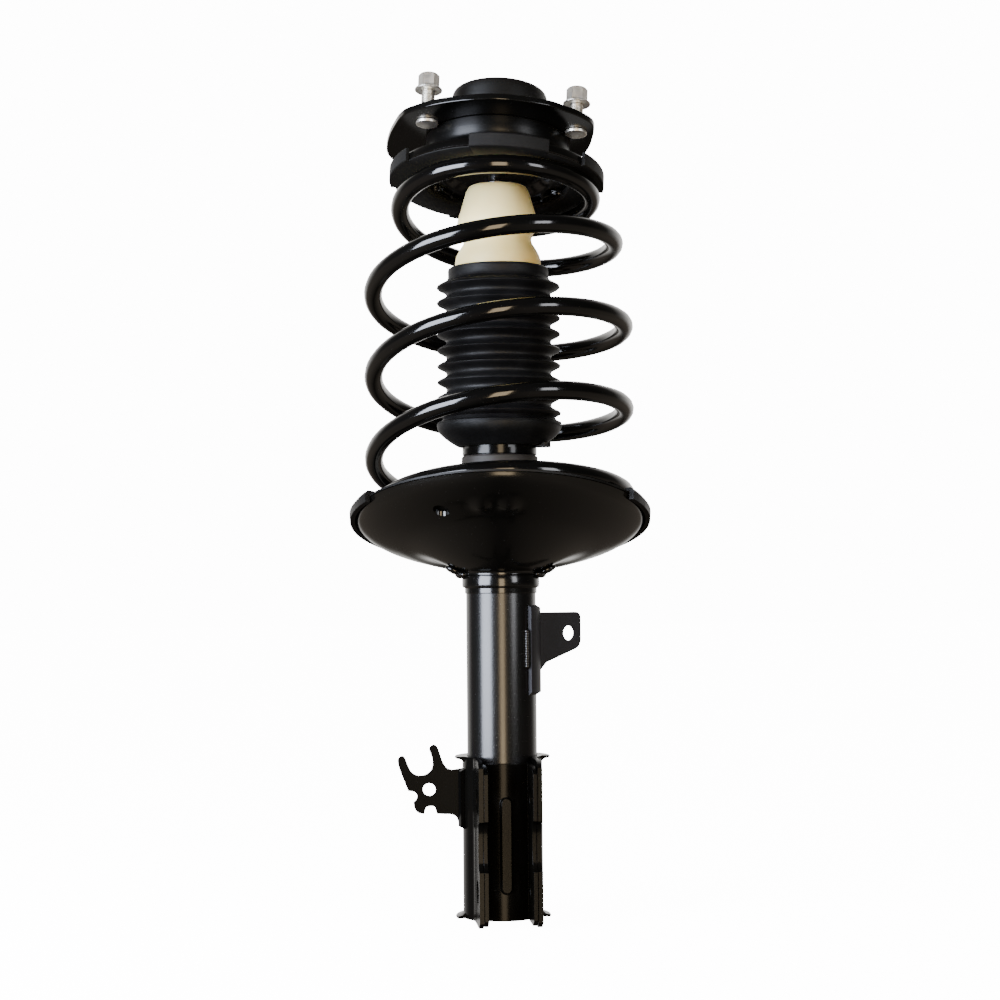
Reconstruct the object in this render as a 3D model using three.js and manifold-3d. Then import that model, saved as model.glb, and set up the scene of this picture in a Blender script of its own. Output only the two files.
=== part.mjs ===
// A complete front strut assembly: a twin-tube damper with its knuckle clamp, an inclined coil spring
// between two seats, a bump stop and bellows on the rod, and a rubber top mount on a ball bearing.
//
// Millimetres, +Z up along the damper. The origin is on the damper's axis, level with the lower edge of
// the knuckle clamp. -Y is the side the clamp opens to (outboard on the car) and +X is the hose bracket.
//
// The spring seats, the spring and the top mount lean away from -Y, as the steering axis does.

import * as THREE from "three";
import { mergeVertices } from "three/addons/utils/BufferGeometryUtils.js";
import Module from "manifold-3d";

const wasm = await Module();
wasm.setup();

const RAD = Math.PI / 180;
const GAP = 0.3; // between two pieces that touch

// ---- driving dimensions -------------------------------------------------------------------------------

const TUBE_R = 25.4; // damper tube, outside
const TUBE_WALL = 2.4;
const TUBE_TOP = 344.4;
const PRESSURE_R = 17.6; // inner working cylinder, outside
const PRESSURE_BORE = 16;
const ROD_R = 11;
const ROD_THREAD_R = 7;
const ROD_SHOULDER_Z = 536;
const GUIDE_Z = 320; // underside of the rod guide

const CLAMP_HEIGHT = 116;
const CLAMP_WALL = 3.2;
const CLAMP_HALF_GAP = 15.6; // half of the space the knuckle's ear goes into
const CLAMP_REACH = 60; // from the damper's axis to the ends of the flanges
const CLAMP_TURN = 5.5 * RAD; // the clamp is welded on slightly turned
const CLAMP_BOLT_R = 8.5;
const CLAMP_BOLT_Y = -44;
const CLAMP_BOLT_Z = [24, 88];

const SEAT_SLOPE = 0.264; // rise of the lower spring seat towards -Y
const SEAT_R = 105.5;
const WIRE_R = 6.65;
const COIL_R = 92;
const COIL_PITCH = 60.7;
const COIL_BOTTOM_Z = 292.6; // wire centre where it lies on the lower seat, at the axis
const COIL_TOP_Z = 525.2; // the same at the upper seat
const UPPER_SLOPE = 0.164;
const SIDE_SLOPE = 0.035; // rise of the coils towards +X

const MOUNT_Z = 548; // centre of the top mount on the damper's axis
const MOUNT_LEAN = 9.3 * RAD;
const MOUNT_ROLL = 2.5 * RAD;
const UPPER_SEAT_R = 76;
const STUD_CIRCLE_R = 62.5;
const STUD_ANGLES = [-145, -25, 95].map((degrees) => degrees * RAD);
const PLATE_Z = 18.5; // underside of the mount's plate above the mount's centre
const PLATE_THICK = 3;

// ---- materials ----------------------------------------------------------------------------------------

const material = (color, roughness, metalness) => new THREE.MeshStandardMaterial({ color, roughness, metalness });
const GLOSS_BLACK = material(0x0c0c0c, 0.2, 0.3);
const SATIN_BLACK = material(0x1b1b1b, 0.4, 0.3);
const RUBBER = material(0x1c1c1c, 0.8, 0);
const FOAM = material(0xefe0bf, 0.55, 0);
const ZINC = material(0xc9c8c2, 0.35, 0.9);
const CHROME = material(0xd8d8d8, 0.08, 1);
const STEEL = material(0x8d8d8d, 0.35, 1);
const SINTERED = material(0x5b5855, 0.6, 0.8);
const SEAL_RUBBER = material(0x14100e, 0.7, 0);

// ---- solids -------------------------------------------------------------------------------------------

// Welds a geometry's seams, drops triangles with no area and makes its faces point out.
function welded(geometry) {
  const bare = geometry.clone();
  bare.deleteAttribute("normal");
  bare.deleteAttribute("uv");
  const merged = mergeVertices(bare, 1e-4);
  const source = merged.index.array;
  const index = [];
  for (let i = 0; i < source.length; i += 3) {
    const [a, b, c] = [source[i], source[i + 1], source[i + 2]];
    if (a !== b && b !== c && c !== a) index.push(a, b, c);
  }
  const [p, q, r] = [new THREE.Vector3(), new THREE.Vector3(), new THREE.Vector3()];
  let volume = 0;
  for (let i = 0; i < index.length; i += 3) {
    [p, q, r].forEach((v, k) => v.fromBufferAttribute(merged.attributes.position, index[i + k]));
    volume += p.dot(q.cross(r));
  }
  if (volume < 0) index.reverse();
  merged.setIndex(index);
  return merged;
}

// A manifold solid of a closed geometry.
function solid(geometry) {
  const closed = welded(geometry);
  return new wasm.Manifold(
    new wasm.Mesh({
      numProp: 3,
      vertProperties: new Float32Array(closed.attributes.position.array),
      triVerts: new Uint32Array(closed.index.array),
    }),
  );
}

// The geometry of a manifold solid.
function geometryOf(body) {
  const mesh = body.getMesh();
  const geometry = new THREE.BufferGeometry();
  geometry.setAttribute("position", new THREE.BufferAttribute(new Float32Array(mesh.vertProperties), 3));
  geometry.setIndex(new THREE.BufferAttribute(new Uint32Array(mesh.triVerts), 1));
  return geometry;
}

// One geometry with others cut from it.
const cut = (geometry, ...tools) => geometryOf(tools.reduce((body, tool) => body.subtract(solid(tool)), solid(geometry)));

// Several overlapping geometries joined.
const joined = (...geometries) => geometryOf(geometries.map(solid).reduce((sum, body) => sum.add(body)));

// A ring or disc turned about Z from a closed outline of [radius, height] points.
function turned(points, segments = 20) {
  const outline = points.map(([r, z]) => new THREE.Vector2(r, z));
  if (points[0][0] > 0 || points.at(-1)[0] > 0) outline.push(outline[0].clone());
  const geometry = new THREE.LatheGeometry(outline, segments);
  geometry.rotateX(Math.PI / 2);
  return geometry;
}

// A tube or washer with square edges.
const ring = (inner, outer, low, high, segments) =>
  turned([[inner, low], [outer, low], [outer, high], [inner, high]], segments);

// A cylinder along Z between two heights.
function post(radius, low, high, segments = 16) {
  const geometry = new THREE.CylinderGeometry(radius, radius, high - low, segments);
  geometry.rotateX(Math.PI / 2);
  geometry.translate(0, 0, (low + high) / 2);
  return geometry;
}

// A box from its lowest and highest corners.
function block([x0, y0, z0], [x1, y1, z1]) {
  const geometry = new THREE.BoxGeometry(x1 - x0, y1 - y0, z1 - z0);
  geometry.translate((x0 + x1) / 2, (y0 + y1) / 2, (z0 + z1) / 2);
  return geometry;
}

// A flat outline raised along Z from low to high.
function raised(shape, low, high, curveSegments = 6) {
  const geometry = new THREE.ExtrudeGeometry(shape, { depth: high - low, bevelEnabled: false, curveSegments });
  geometry.translate(0, 0, low);
  return geometry;
}

// The outline of part of a ring, between two angles.
function arcBand(inner, outer, from, to) {
  const shape = new THREE.Shape();
  shape.absarc(0, 0, outer, from, to, false);
  shape.absarc(0, 0, inner, to, from, true);
  return shape;
}

// Moves every vertex up by rise(x, y, z).
function lifted(geometry, rise) {
  const position = geometry.attributes.position;
  for (let i = 0; i < position.count; i++) {
    const [x, y, z] = [position.getX(i), position.getY(i), position.getZ(i)];
    position.setZ(i, z + rise(x, y, z));
  }
  return geometry;
}

const smooth = (low, high, value) => THREE.MathUtils.smoothstep(value, low, high);

// The lower seat is level where it meets the tube and slopes fully from this far out.
const seatRise = (x, y) => -y * SEAT_SLOPE * smooth(30, 75, Math.hypot(x, y));

// ---- scene --------------------------------------------------------------------------------------------

const strut = new THREE.Group();
const clamp = new THREE.Group();
clamp.rotation.z = CLAMP_TURN;
const mount = new THREE.Group();
mount.position.z = MOUNT_Z;
mount.rotation.set(-MOUNT_LEAN, MOUNT_ROLL, 0);
mount.updateMatrix();
strut.add(clamp, mount);

// Adds a named piece to a group.
function piece(group, name, geometry, finish) {
  const mesh = new THREE.Mesh(geometry, finish);
  mesh.name = name;
  group.add(mesh);
  return mesh;
}

// A post along the damper's axis, seen from the leaning mount's own frame.
const levelPost = (radius, low, high, segments) => post(radius, low, high, segments).applyMatrix4(mount.matrix.clone().invert());

// ---- damper -------------------------------------------------------------------------------------------

function damper() {
  const bore = TUBE_R - TUBE_WALL;
  const fit = bore - GAP;
  piece(strut, "outer_tube", turned([
    [bore, 0], [TUBE_R, 0], [TUBE_R, TUBE_TOP - 1.4], [TUBE_R - 1, TUBE_TOP],
    [bore - 4, TUBE_TOP], [bore - 4, TUBE_TOP - 2.4], [bore, TUBE_TOP - 2.4],
  ], 24), SATIN_BLACK);
  piece(strut, "base_cap", turned([[0, 0], [fit, 0], [fit, 6], [0, 6]]), SATIN_BLACK);
  piece(strut, "base_valve", turned([
    [0, 6.3], [PRESSURE_R, 6.3], [PRESSURE_R, 14], [PRESSURE_BORE - GAP, 14], [PRESSURE_BORE - GAP, 24], [0, 24],
  ], 16), SINTERED);
  piece(strut, "pressure_tube", ring(PRESSURE_BORE, PRESSURE_R, 14 + GAP, GUIDE_Z, 16), STEEL);
  piece(strut, "rod_guide", turned([
    [ROD_R + GAP, GUIDE_Z - 6], [PRESSURE_BORE - GAP, GUIDE_Z - 6], [PRESSURE_BORE - GAP, GUIDE_Z + GAP],
    [fit, GUIDE_Z + GAP], [fit, 334], [ROD_R + GAP, 334],
  ]), SINTERED);
  piece(strut, "rod_seal", ring(ROD_R + GAP, fit, 334 + GAP, TUBE_TOP - 2.4 - GAP), SEAL_RUBBER);
  piece(strut, "striker_cap", turned([
    [TUBE_R + GAP, 322], [27.4, 322], [27.4, 346.5], [26.6, 347.3], [13.5, 347.3], [13.5, 344.8], [TUBE_R + GAP, 344.8],
  ], 24), GLOSS_BLACK);
  piece(strut, "piston_rod", turned([
    [0, 277], [6, 277], [6, 300], [ROD_R, 300], [ROD_R, ROD_SHOULDER_Z - 1], [ROD_R - 1, ROD_SHOULDER_Z],
    [ROD_THREAD_R, ROD_SHOULDER_Z], [ROD_THREAD_R, 591], [ROD_THREAD_R - 1, 592], [0, 592],
  ]), CHROME);
  piece(strut, "piston", turned([
    [6 + GAP, 284], [PRESSURE_BORE - 1, 284], [PRESSURE_BORE - 1, 287], [13.5, 287], [13.5, 296.7],
    [PRESSURE_BORE - 1, 296.7], [PRESSURE_BORE - 1, 299.7], [6 + GAP, 299.7],
  ], 16), SINTERED);
  piece(strut, "piston_band", ring(13.5 + GAP, PRESSURE_BORE - GAP, 287 + GAP, 296.7 - GAP, 16), SEAL_RUBBER);
  piece(strut, "piston_nut", cut(post(9.2, 278, 284 - GAP, 6), post(6 + GAP, 270, 290)), STEEL);
  piece(strut, "rebound_stop", ring(ROD_R + GAP, 15, 302, 313.4, 16), SEAL_RUBBER);
}

// ---- knuckle clamp ------------------------------------------------------------------------------------

// A channel outline: an arc round the tube on one side, and two flanges running out towards -Y.
function channel(halfGap, arcInner, arcFrom, arcTo) {
  const outer = arcInner + CLAMP_WALL;
  const [inX, outX] = [halfGap, halfGap + CLAMP_WALL];
  const shape = new THREE.Shape();
  shape.moveTo(-outX, -CLAMP_REACH);
  shape.lineTo(-inX, -CLAMP_REACH);
  arcFrom(shape, inX, outX, arcInner, outer);
  shape.lineTo(inX, -CLAMP_REACH);
  shape.lineTo(outX, -CLAMP_REACH);
  arcTo(shape, inX, outX, arcInner, outer);
  shape.closePath();
  return shape;
}

// The flanges' front edges: two lobes round the bolts, with a shallow waist between them.
function flangeWaist() {
  const profile = new THREE.Shape();
  profile.moveTo(-CLAMP_REACH - 5, 40);
  profile.lineTo(-CLAMP_REACH, 40);
  profile.quadraticCurveTo(-CLAMP_REACH + 11, 44, -CLAMP_REACH + 11, 56);
  profile.quadraticCurveTo(-CLAMP_REACH + 11, 68, -CLAMP_REACH, 72);
  profile.lineTo(-CLAMP_REACH - 5, 72);
  profile.closePath();
  return sideways(profile, -40, 40);
}

// An outline drawn in Y and Z, raised along X.
function sideways(shape, low, high, curveSegments = 4) {
  const geometry = new THREE.ExtrudeGeometry(shape, { depth: high - low, bevelEnabled: false, curveSegments });
  geometry.rotateX(Math.PI / 2);
  geometry.rotateZ(Math.PI / 2);
  geometry.translate(low, 0, 0);
  return geometry;
}

// The corners of the flanges, to be cut off at 45 degrees.
function flangeCorner(z, up) {
  const corner = new THREE.Shape();
  const size = 9;
  corner.moveTo(-CLAMP_REACH - 1, z - up * size);
  corner.lineTo(-CLAMP_REACH + size, z + up);
  corner.lineTo(-CLAMP_REACH - 1, z + up);
  corner.closePath();
  return sideways(corner, -40, 40);
}

function boltHoles() {
  return CLAMP_BOLT_Z.map((z) => {
    const hole = new THREE.CylinderGeometry(CLAMP_BOLT_R, CLAMP_BOLT_R, 80, 14);
    hole.rotateZ(Math.PI / 2);
    hole.translate(0, CLAMP_BOLT_Y, z);
    return hole;
  });
}

function knuckleClamp() {
  const cuts = [flangeWaist(), flangeCorner(0, -1), flangeCorner(CLAMP_HEIGHT, 1), ...boltHoles()];
  const tubeFit = TUBE_R + 0.4;

  // The outer channel wraps the back of the tube and necks in to its flanges.
  const neck = -Math.PI / 2 + 49 * RAD;
  const outerFlange = CLAMP_HALF_GAP + CLAMP_WALL + GAP;
  const outer = channel(outerFlange, tubeFit,
    (shape, inX, outX, inner) => {
      shape.lineTo(-inX, -20);
      shape.absarc(0, 0, inner, Math.PI - neck, neck, true);
      shape.lineTo(inX, -20);
    },
    (shape, inX, outX, inner, radius) => {
      shape.lineTo(outX, -21);
      shape.absarc(0, 0, radius, neck, Math.PI - neck, false);
      shape.lineTo(-outX, -21);
    });
  const lip = arcBand(tubeFit + 1, 34.5, -12 * RAD, 192 * RAD);
  piece(clamp, "knuckle_clamp", cut(joined(
    raised(outer, 0, CLAMP_HEIGHT, 12), raised(lip, 0, 3, 10), raised(lip, CLAMP_HEIGHT - 3, CLAMP_HEIGHT, 10),
  ), ...cuts), GLOSS_BLACK);

  // The inner channel lies against the front of the tube; its web has a long pressed rib.
  const web = Math.asin((CLAMP_HALF_GAP - 1.5) / tubeFit);
  const webRadius = tubeFit + CLAMP_WALL;
  const inner = channel(CLAMP_HALF_GAP, tubeFit,
    (shape, inX) => {
      shape.lineTo(-inX, -30);
      shape.absarc(0, 0, webRadius, -Math.PI / 2 - web, -Math.PI / 2 + web, false);
      shape.lineTo(inX, -30);
    },
    (shape, inX, outX) => {
      shape.lineTo(outX, -21.5);
      shape.absarc(0, 0, tubeFit, -Math.PI / 2 + web + 0.05, -Math.PI / 2 - web - 0.05, true);
      shape.lineTo(-outX, -21.5);
    });
  const rib = new THREE.Shape();
  rib.absarc(0, 84, 5, 0, Math.PI, false);
  rib.absarc(0, 24, 5, Math.PI, 2 * Math.PI, false);
  const ribSolid = new THREE.ExtrudeGeometry(rib, { depth: 4, bevelEnabled: false, curveSegments: 6 });
  ribSolid.rotateX(Math.PI / 2);
  ribSolid.translate(0, -webRadius + 2.6, 0);
  piece(clamp, "clamp_inner_channel", cut(joined(raised(inner, 1, CLAMP_HEIGHT - 4, 8), ribSolid), ...cuts), GLOSS_BLACK);
}

// ---- brackets on the tube -----------------------------------------------------------------------------

function hoseBracket() {
  const saddle = raised(arcBand(TUBE_R + 0.4, TUBE_R + 3.4, -42 * RAD, 14 * RAD), 160, 225, 6);
  const tab = new THREE.Shape();
  tab.moveTo(0, 176);
  tab.lineTo(7, 183);
  tab.lineTo(33, 192);
  tab.quadraticCurveTo(38, 194, 38.5, 200);
  tab.lineTo(38.5, 215);
  tab.quadraticCurveTo(38.5, 219.5, 34, 219.5);
  tab.lineTo(0, 219.5);
  tab.closePath();
  const hole = new THREE.Path();
  hole.absarc(28, 204, 5.6, 0, 2 * Math.PI, true);
  tab.holes.push(hole);
  const plate = new THREE.ExtrudeGeometry(tab, { depth: 3, bevelEnabled: false, curveSegments: 6 });
  plate.rotateX(Math.PI / 2);
  plate.rotateZ(35 * RAD);
  plate.translate(TUBE_R + 2, 0.5, 0);
  piece(strut, "brake_hose_bracket", joined(saddle, plate), SATIN_BLACK);
}

// The fork that carries the wheel speed sensor's lead, with a small clip hole and two notches.
function sensorBracket() {
  const fork = new THREE.Shape();
  fork.moveTo(-29.6, 107);
  fork.lineTo(-37, 106.4);
  fork.quadraticCurveTo(-42.5, 106, -44.5, 112);
  fork.lineTo(-48, 122.5);
  fork.quadraticCurveTo(-50.5, 126, -53.5, 122.5);
  fork.lineTo(-51, 113);
  fork.quadraticCurveTo(-50.5, 103, -59, 102.3);
  fork.lineTo(-63, 102.3);
  fork.quadraticCurveTo(-67.5, 104, -71, 115.5);
  fork.quadraticCurveTo(-74, 117.5, -76, 114);
  fork.lineTo(-68, 91);
  fork.lineTo(-64.5, 91);
  fork.quadraticCurveTo(-60.5, 88, -65, 82);
  fork.lineTo(-62, 75.8);
  fork.lineTo(-56, 75.5);
  fork.lineTo(-55.5, 79.4);
  fork.lineTo(-49.4, 79.4);
  fork.lineTo(-48, 75.5);
  fork.lineTo(-37.6, 74.8);
  fork.quadraticCurveTo(-33, 71, -31, 64.5);
  fork.lineTo(-29.6, 64.5);
  fork.closePath();
  const hole = new THREE.Path();
  hole.absarc(-53.2, 92.3, 4.6, 0, 2 * Math.PI, true);
  fork.holes.push(hole);
  const plate = new THREE.ExtrudeGeometry(fork, { depth: 3, bevelEnabled: false, curveSegments: 6 });
  plate.rotateX(Math.PI / 2);
  plate.translate(0, -0.5, 0);
  const foot = raised(arcBand(29.4, 32.2, 168 * RAD, 200 * RAD), 66, 106.5, 5);
  piece(strut, "sensor_lead_bracket", joined(plate, foot), SATIN_BLACK);
}

// ---- lower spring seat --------------------------------------------------------------------------------

function lowerSeat() {
  const under = [[28.3, 247.3], [28.5, 249], [34, 252], [42, 255.5], [52, 260], [64, 265], [78, 270], [90, 274.5],
    [98, 278.5], [103.5, 283], [SEAT_R, 288.5]];
  const over = [[102.8, 288.5], [100.6, 284.2], [95.6, 280.6], [88.5, 277.3], [77, 272.8], [63, 267.6], [51, 262.7],
    [41, 258.3], [33, 254.9], [TUBE_R + 0.4, 253]];
  const dish = lifted(turned([[TUBE_R + 0.4, 247.3], ...under, ...over], 28), seatRise);
  piece(strut, "lower_spring_seat", dish, GLOSS_BLACK);
  const pad = lifted(turned([
    [70, 271.2], [77, 273.9], [88, 278.2], [95, 281.6], [99.7, 285], [101.9, 289], [106, 289], [106, 284.5],
    [109.6, 284.5], [110, 290], [107.5, 293], [101.5, 292.5], [99.8, 287.8], [92, 284.2], [84, 283.2], [75, 279], [70, 275],
  ], 28), seatRise);
  piece(strut, "lower_spring_pad", pad, RUBBER);
  piece(strut, "seat_support_ring", turned([
    [TUBE_R + 0.4, 233.5], [27, 235.5], [27.2, 238], [28.2, 239.5], [28.2, 246], [27.6, 247], [TUBE_R + 0.4, 247],
  ], 24), GLOSS_BLACK);
}

// ---- coil spring --------------------------------------------------------------------------------------

// The wire's centre line. The angle runs anticlockwise from +X and grows with height; the end turns lie
// flat on the seats, and the last turn and a half closes in to the smaller upper seat.
const COIL_START = -600;
const COIL_END = 1180;

function coilPoint(degrees) {
  const radius = COIL_R - 23 * smooth(560, 1000, degrees) - 4 * smooth(-420, -600, degrees);
  const free = 363.5 + (COIL_PITCH * degrees) / 360;
  const soft = 5; // rounds the change from a free turn to a flat one
  const above = COIL_BOTTOM_Z + soft * Math.log1p(Math.exp((free - COIL_BOTTOM_Z) / soft));
  const centre = COIL_TOP_Z - soft * Math.log1p(Math.exp((COIL_TOP_Z - above) / soft));
  const share = (centre - COIL_BOTTOM_Z) / (COIL_TOP_Z - COIL_BOTTOM_Z);
  const slope = THREE.MathUtils.lerp(SEAT_SLOPE, UPPER_SLOPE, share);
  const side = SIDE_SLOPE * smooth(0, 0.2, share) - (SIDE_SLOPE + Math.tan(MOUNT_ROLL)) * smooth(0.85, 1, share);
  const [x, y] = [radius * Math.cos(degrees * RAD), radius * Math.sin(degrees * RAD)];
  return new THREE.Vector3(x, y, centre - slope * y + side * x);
}

function coilSpring() {
  const points = [];
  for (let angle = COIL_START; angle <= COIL_END; angle += 24) points.push(coilPoint(angle));
  const wire = new THREE.Shape();
  wire.absarc(0, 0, WIRE_R, 0, 2 * Math.PI, false);
  const path = new THREE.CatmullRomCurve3(points);
  const geometry = new THREE.ExtrudeGeometry(wire, {
    extrudePath: path, steps: points.length, bevelEnabled: false, curveSegments: 4,
  });
  piece(strut, "coil_spring", geometry, GLOSS_BLACK);
}

// ---- soft parts on the rod ----------------------------------------------------------------------------

function bumpStop() {
  const bore = ROD_R + GAP;
  piece(strut, "bump_stop", turned([
    [bore, 455], [19, 455], [24, 462], [30.5, 467], [31.3, 478], [26, 488], [23.5, 493], [26.5, 498], [29.6, 504],
    [28, 511], [24, 524], [21.8, 530], [18.5, 533], [bore, 533],
  ]), FOAM);
}

function dustBoot() {
  const ridges = 9;
  const pitch = 11.65;
  const outline = [[28, 340.6], [33, 341], [40, 346], [45.2, 352], [45.6, 358]];
  for (let i = 0; i < ridges; i++) {
    const z = 364.9 + i * pitch;
    outline.push([38.5, z - pitch / 2 + 1], [45.2, z]);
  }
  outline.push([37, 463.5], [36.9, 471], [36, 472], [32, 472], [32, 460], [36, 455], [36, 362], [32, 350], [28, 348.5]);
  piece(strut, "dust_boot", turned(outline, 18), RUBBER);
}

// ---- top mount ----------------------------------------------------------------------------------------

// Everything below is in the leaning mount's frame: height 0 is the mount's centre.
function upperSeat() {
  const dish = turned([
    [0, -5], [34, -5], [40, -10], [73.3, -10], [73.3, -13.9], [UPPER_SEAT_R, -13.9], [UPPER_SEAT_R, -8.5], [74.5, -7.3],
    [41.5, -7.3], [36, -2.3], [0, -2.3],
  ], 28);
  piece(mount, "upper_spring_seat", cut(dish, levelPost(ROD_THREAD_R + GAP, 500, 600, 16)), GLOSS_BLACK);

  const pad = turned([[54, -15.4], [UPPER_SEAT_R, -15.4], [UPPER_SEAT_R, -14.2], [73, -14.2], [73, -10.3], [52, -10.3], [52, -13.4]], 28);
  const tabs = [-83, -166, -16, 97].map((middle) => {
    const half = 21 * RAD;
    const at = middle * RAD;
    return joined(
      raised(arcBand(UPPER_SEAT_R + GAP, 79, at - half, at + half), -15.4, -5.5, 3),
      raised(arcBand(72, 79, at - half, at + half), -15.4, -14.2, 3),
    );
  });
  piece(mount, "upper_spring_pad", joined(pad, ...tabs), RUBBER);
}

const BEARING_Z = 8;
const BALL_R = 3.1;
const BALL_CIRCLE_R = 23.5;
const BALL_COUNT = 10;

function bearing() {
  const sleeve = turned([
    [0, -2], [24, -2], [24, 1.5], [20, 3.5], [20, 20], [17, 24], [17, 32], [0, 32],
  ], 18);
  piece(mount, "bearing_inner_race", cut(sleeve, levelPost(ROD_THREAD_R + GAP, 500, 600, 16), levelPost(60, 574, 620, 8)), STEEL);
  piece(mount, "bearing_outer_race", turned([
    [27, 3.2], [31, 3.2], [31, 13], [27, 13],
  ], 24), STEEL);
  const balls = [];
  for (let i = 0; i < BALL_COUNT; i++) {
    const angle = (i * 2 * Math.PI) / BALL_COUNT;
    const ball = new THREE.IcosahedronGeometry(BALL_R, 0);
    ball.translate(BALL_CIRCLE_R * Math.cos(angle), BALL_CIRCLE_R * Math.sin(angle), BEARING_Z);
    balls.push(ball);
  }
  piece(mount, "bearing_ball_cage", joined(ring(22.2, 24.8, BEARING_Z - 1, BEARING_Z + 1, 16), ...balls), STEEL);
}

// The plate's outline, as angles and radii: corners at the front studs, a flat right side, a full rear left one.
const PLATE_EDGE = [
  [-176, 80.6], [-163, 79.6], [-150, 81.4], [-139.5, 81.6], [-118, 79.6], [-91, 80.1], [-65.6, 79.8], [-52, 78.8],
  [-42, 79.4], [-32, 79.4], [-24, 76.4], [-9, 70], [4, 67.6], [18, 66.6], [36, 67.6], [54, 71.6], [72, 77], [90, 81],
  [108, 83], [126, 86], [143, 89.6], [156, 89.6], [167, 86],
];

function plateOutline(inset) {
  const corners = PLATE_EDGE.map(([angle, radius]) =>
    new THREE.Vector3((radius - inset) * Math.cos(angle * RAD), (radius - inset) * Math.sin(angle * RAD), 0));
  const edge = new THREE.CatmullRomCurve3(corners, true).getPoints(46).slice(0, -1);
  return new THREE.Shape(edge.map(({ x, y }) => new THREE.Vector2(x, y)));
}

function studAt(geometry, angle) {
  geometry.translate(STUD_CIRCLE_R * Math.cos(angle), STUD_CIRCLE_R * Math.sin(angle), 0);
  return geometry;
}

function mountPlate() {
  const top = PLATE_Z + PLATE_THICK;
  const holes = STUD_ANGLES.map((angle) => studAt(post(5.3, 0, 40, 12), angle));
  const rim = cut(raised(plateOutline(0), PLATE_Z, top + 1.6), raised(plateOutline(2.4), PLATE_Z - 1, top + 5));
  const plate = joined(raised(plateOutline(1), PLATE_Z, top), rim);
  piece(mount, "mount_plate", cut(plate, post(33, 0, 60, 20), ...holes), GLOSS_BLACK);
  piece(mount, "top_cup", turned([
    [33.2, top + GAP], [40, top + GAP], [40, top + 1.4], [36.8, top + 2.2], [35.6, top + 8], [35.2, 53.5], [33.5, 56.5],
    [26, 56.5], [26, 54.3], [31.5, 54.3], [32.8, 51.5],
  ], 24), SATIN_BLACK);
  piece(mount, "mount_rubber", turned([
    [31.3, 4], [38, 3.6], [48.8, 6.4], [48.8, 18.2], [32.6, 18.2], [31.3, 26],
  ], 24), RUBBER);
  piece(mount, "mount_drum", turned([
    [36, 0.4], [44, 0.4], [52, 5], [53.4, 16], [53.4, 18.2], [49.3, 18.2], [49.3, 5.9], [43, 3], [36, 2.8],
  ], 24), GLOSS_BLACK);
}

function studsAndNuts() {
  const names = ["left", "right", "rear"];
  const seats = [42, 39, 39]; // how far up its stud each nut is run
  STUD_ANGLES.forEach((angle, i) => {
    const base = seats[i];
    const stud = turned([
      [0, 15.8], [8, 15.8], [8, 18.2], [4.9, 18.2], [4.9, base + 10.8], [4, base + 11.6], [0, base + 11.6],
    ], 12);
    piece(mount, `${names[i]}_stud`, studAt(stud, angle), ZINC);
    const nut = joined(
      ring(5.2, 10, base, base + 2, 12),
      cut(post(7.8, base + 1.5, base + 12.6, 6), post(5.2, base - 5, base + 20, 12)),
    );
    piece(mount, `${names[i]}_flange_nut`, studAt(nut, angle), ZINC);
  });
}

function rodNut() {
  piece(strut, "rod_washer", ring(ROD_THREAD_R + GAP, 13.5, 574.3, 577, 20), ZINC);
  piece(strut, "rod_nut", cut(post(12.1, 577.3, 588, 6), post(ROD_THREAD_R + GAP, 570, 600, 16)), ZINC);
}

damper();
knuckleClamp();
hoseBracket();
sensorBracket();
lowerSeat();
coilSpring();
bumpStop();
dustBoot();
upperSeat();
bearing();
mountPlate();
studsAndNuts();
rodNut();

export default strut;
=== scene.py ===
"""A suspension strut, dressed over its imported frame: damper, clamp, spring, bellows and top mount."""

import logging
import math
from dataclasses import dataclass, field
from enum import Enum
from typing import Callable, Iterable, Sequence

import bmesh
import bpy
from mathutils import Matrix, Vector, kdtree


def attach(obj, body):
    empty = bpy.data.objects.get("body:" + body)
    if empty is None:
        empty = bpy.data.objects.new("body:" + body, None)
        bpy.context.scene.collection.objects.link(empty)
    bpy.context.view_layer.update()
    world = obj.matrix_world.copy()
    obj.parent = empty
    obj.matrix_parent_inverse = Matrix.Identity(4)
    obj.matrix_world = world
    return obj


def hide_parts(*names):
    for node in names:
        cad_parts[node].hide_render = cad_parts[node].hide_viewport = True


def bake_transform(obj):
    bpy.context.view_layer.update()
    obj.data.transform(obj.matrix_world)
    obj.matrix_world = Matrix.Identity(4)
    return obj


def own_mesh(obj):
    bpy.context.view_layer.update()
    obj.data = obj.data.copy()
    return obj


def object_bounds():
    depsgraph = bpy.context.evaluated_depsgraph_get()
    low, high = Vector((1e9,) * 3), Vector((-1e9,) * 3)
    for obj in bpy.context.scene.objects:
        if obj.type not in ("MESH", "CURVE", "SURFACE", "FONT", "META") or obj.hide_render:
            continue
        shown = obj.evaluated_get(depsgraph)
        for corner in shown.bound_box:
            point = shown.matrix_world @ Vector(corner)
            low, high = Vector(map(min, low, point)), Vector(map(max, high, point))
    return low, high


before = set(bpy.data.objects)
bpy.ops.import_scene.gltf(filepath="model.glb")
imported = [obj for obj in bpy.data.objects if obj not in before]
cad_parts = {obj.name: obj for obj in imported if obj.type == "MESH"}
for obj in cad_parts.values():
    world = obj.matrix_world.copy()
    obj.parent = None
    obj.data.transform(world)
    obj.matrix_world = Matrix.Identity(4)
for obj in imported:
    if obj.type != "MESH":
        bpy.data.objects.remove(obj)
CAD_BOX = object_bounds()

LOG = logging.getLogger("strut")
MM = 0.001
TURN = 2 * math.pi

Point = tuple[float, float]  # also a pair of limits
Colour = tuple[float, float, float]


# ---- shaders ------------------------------------------------------------------------------------------


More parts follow.
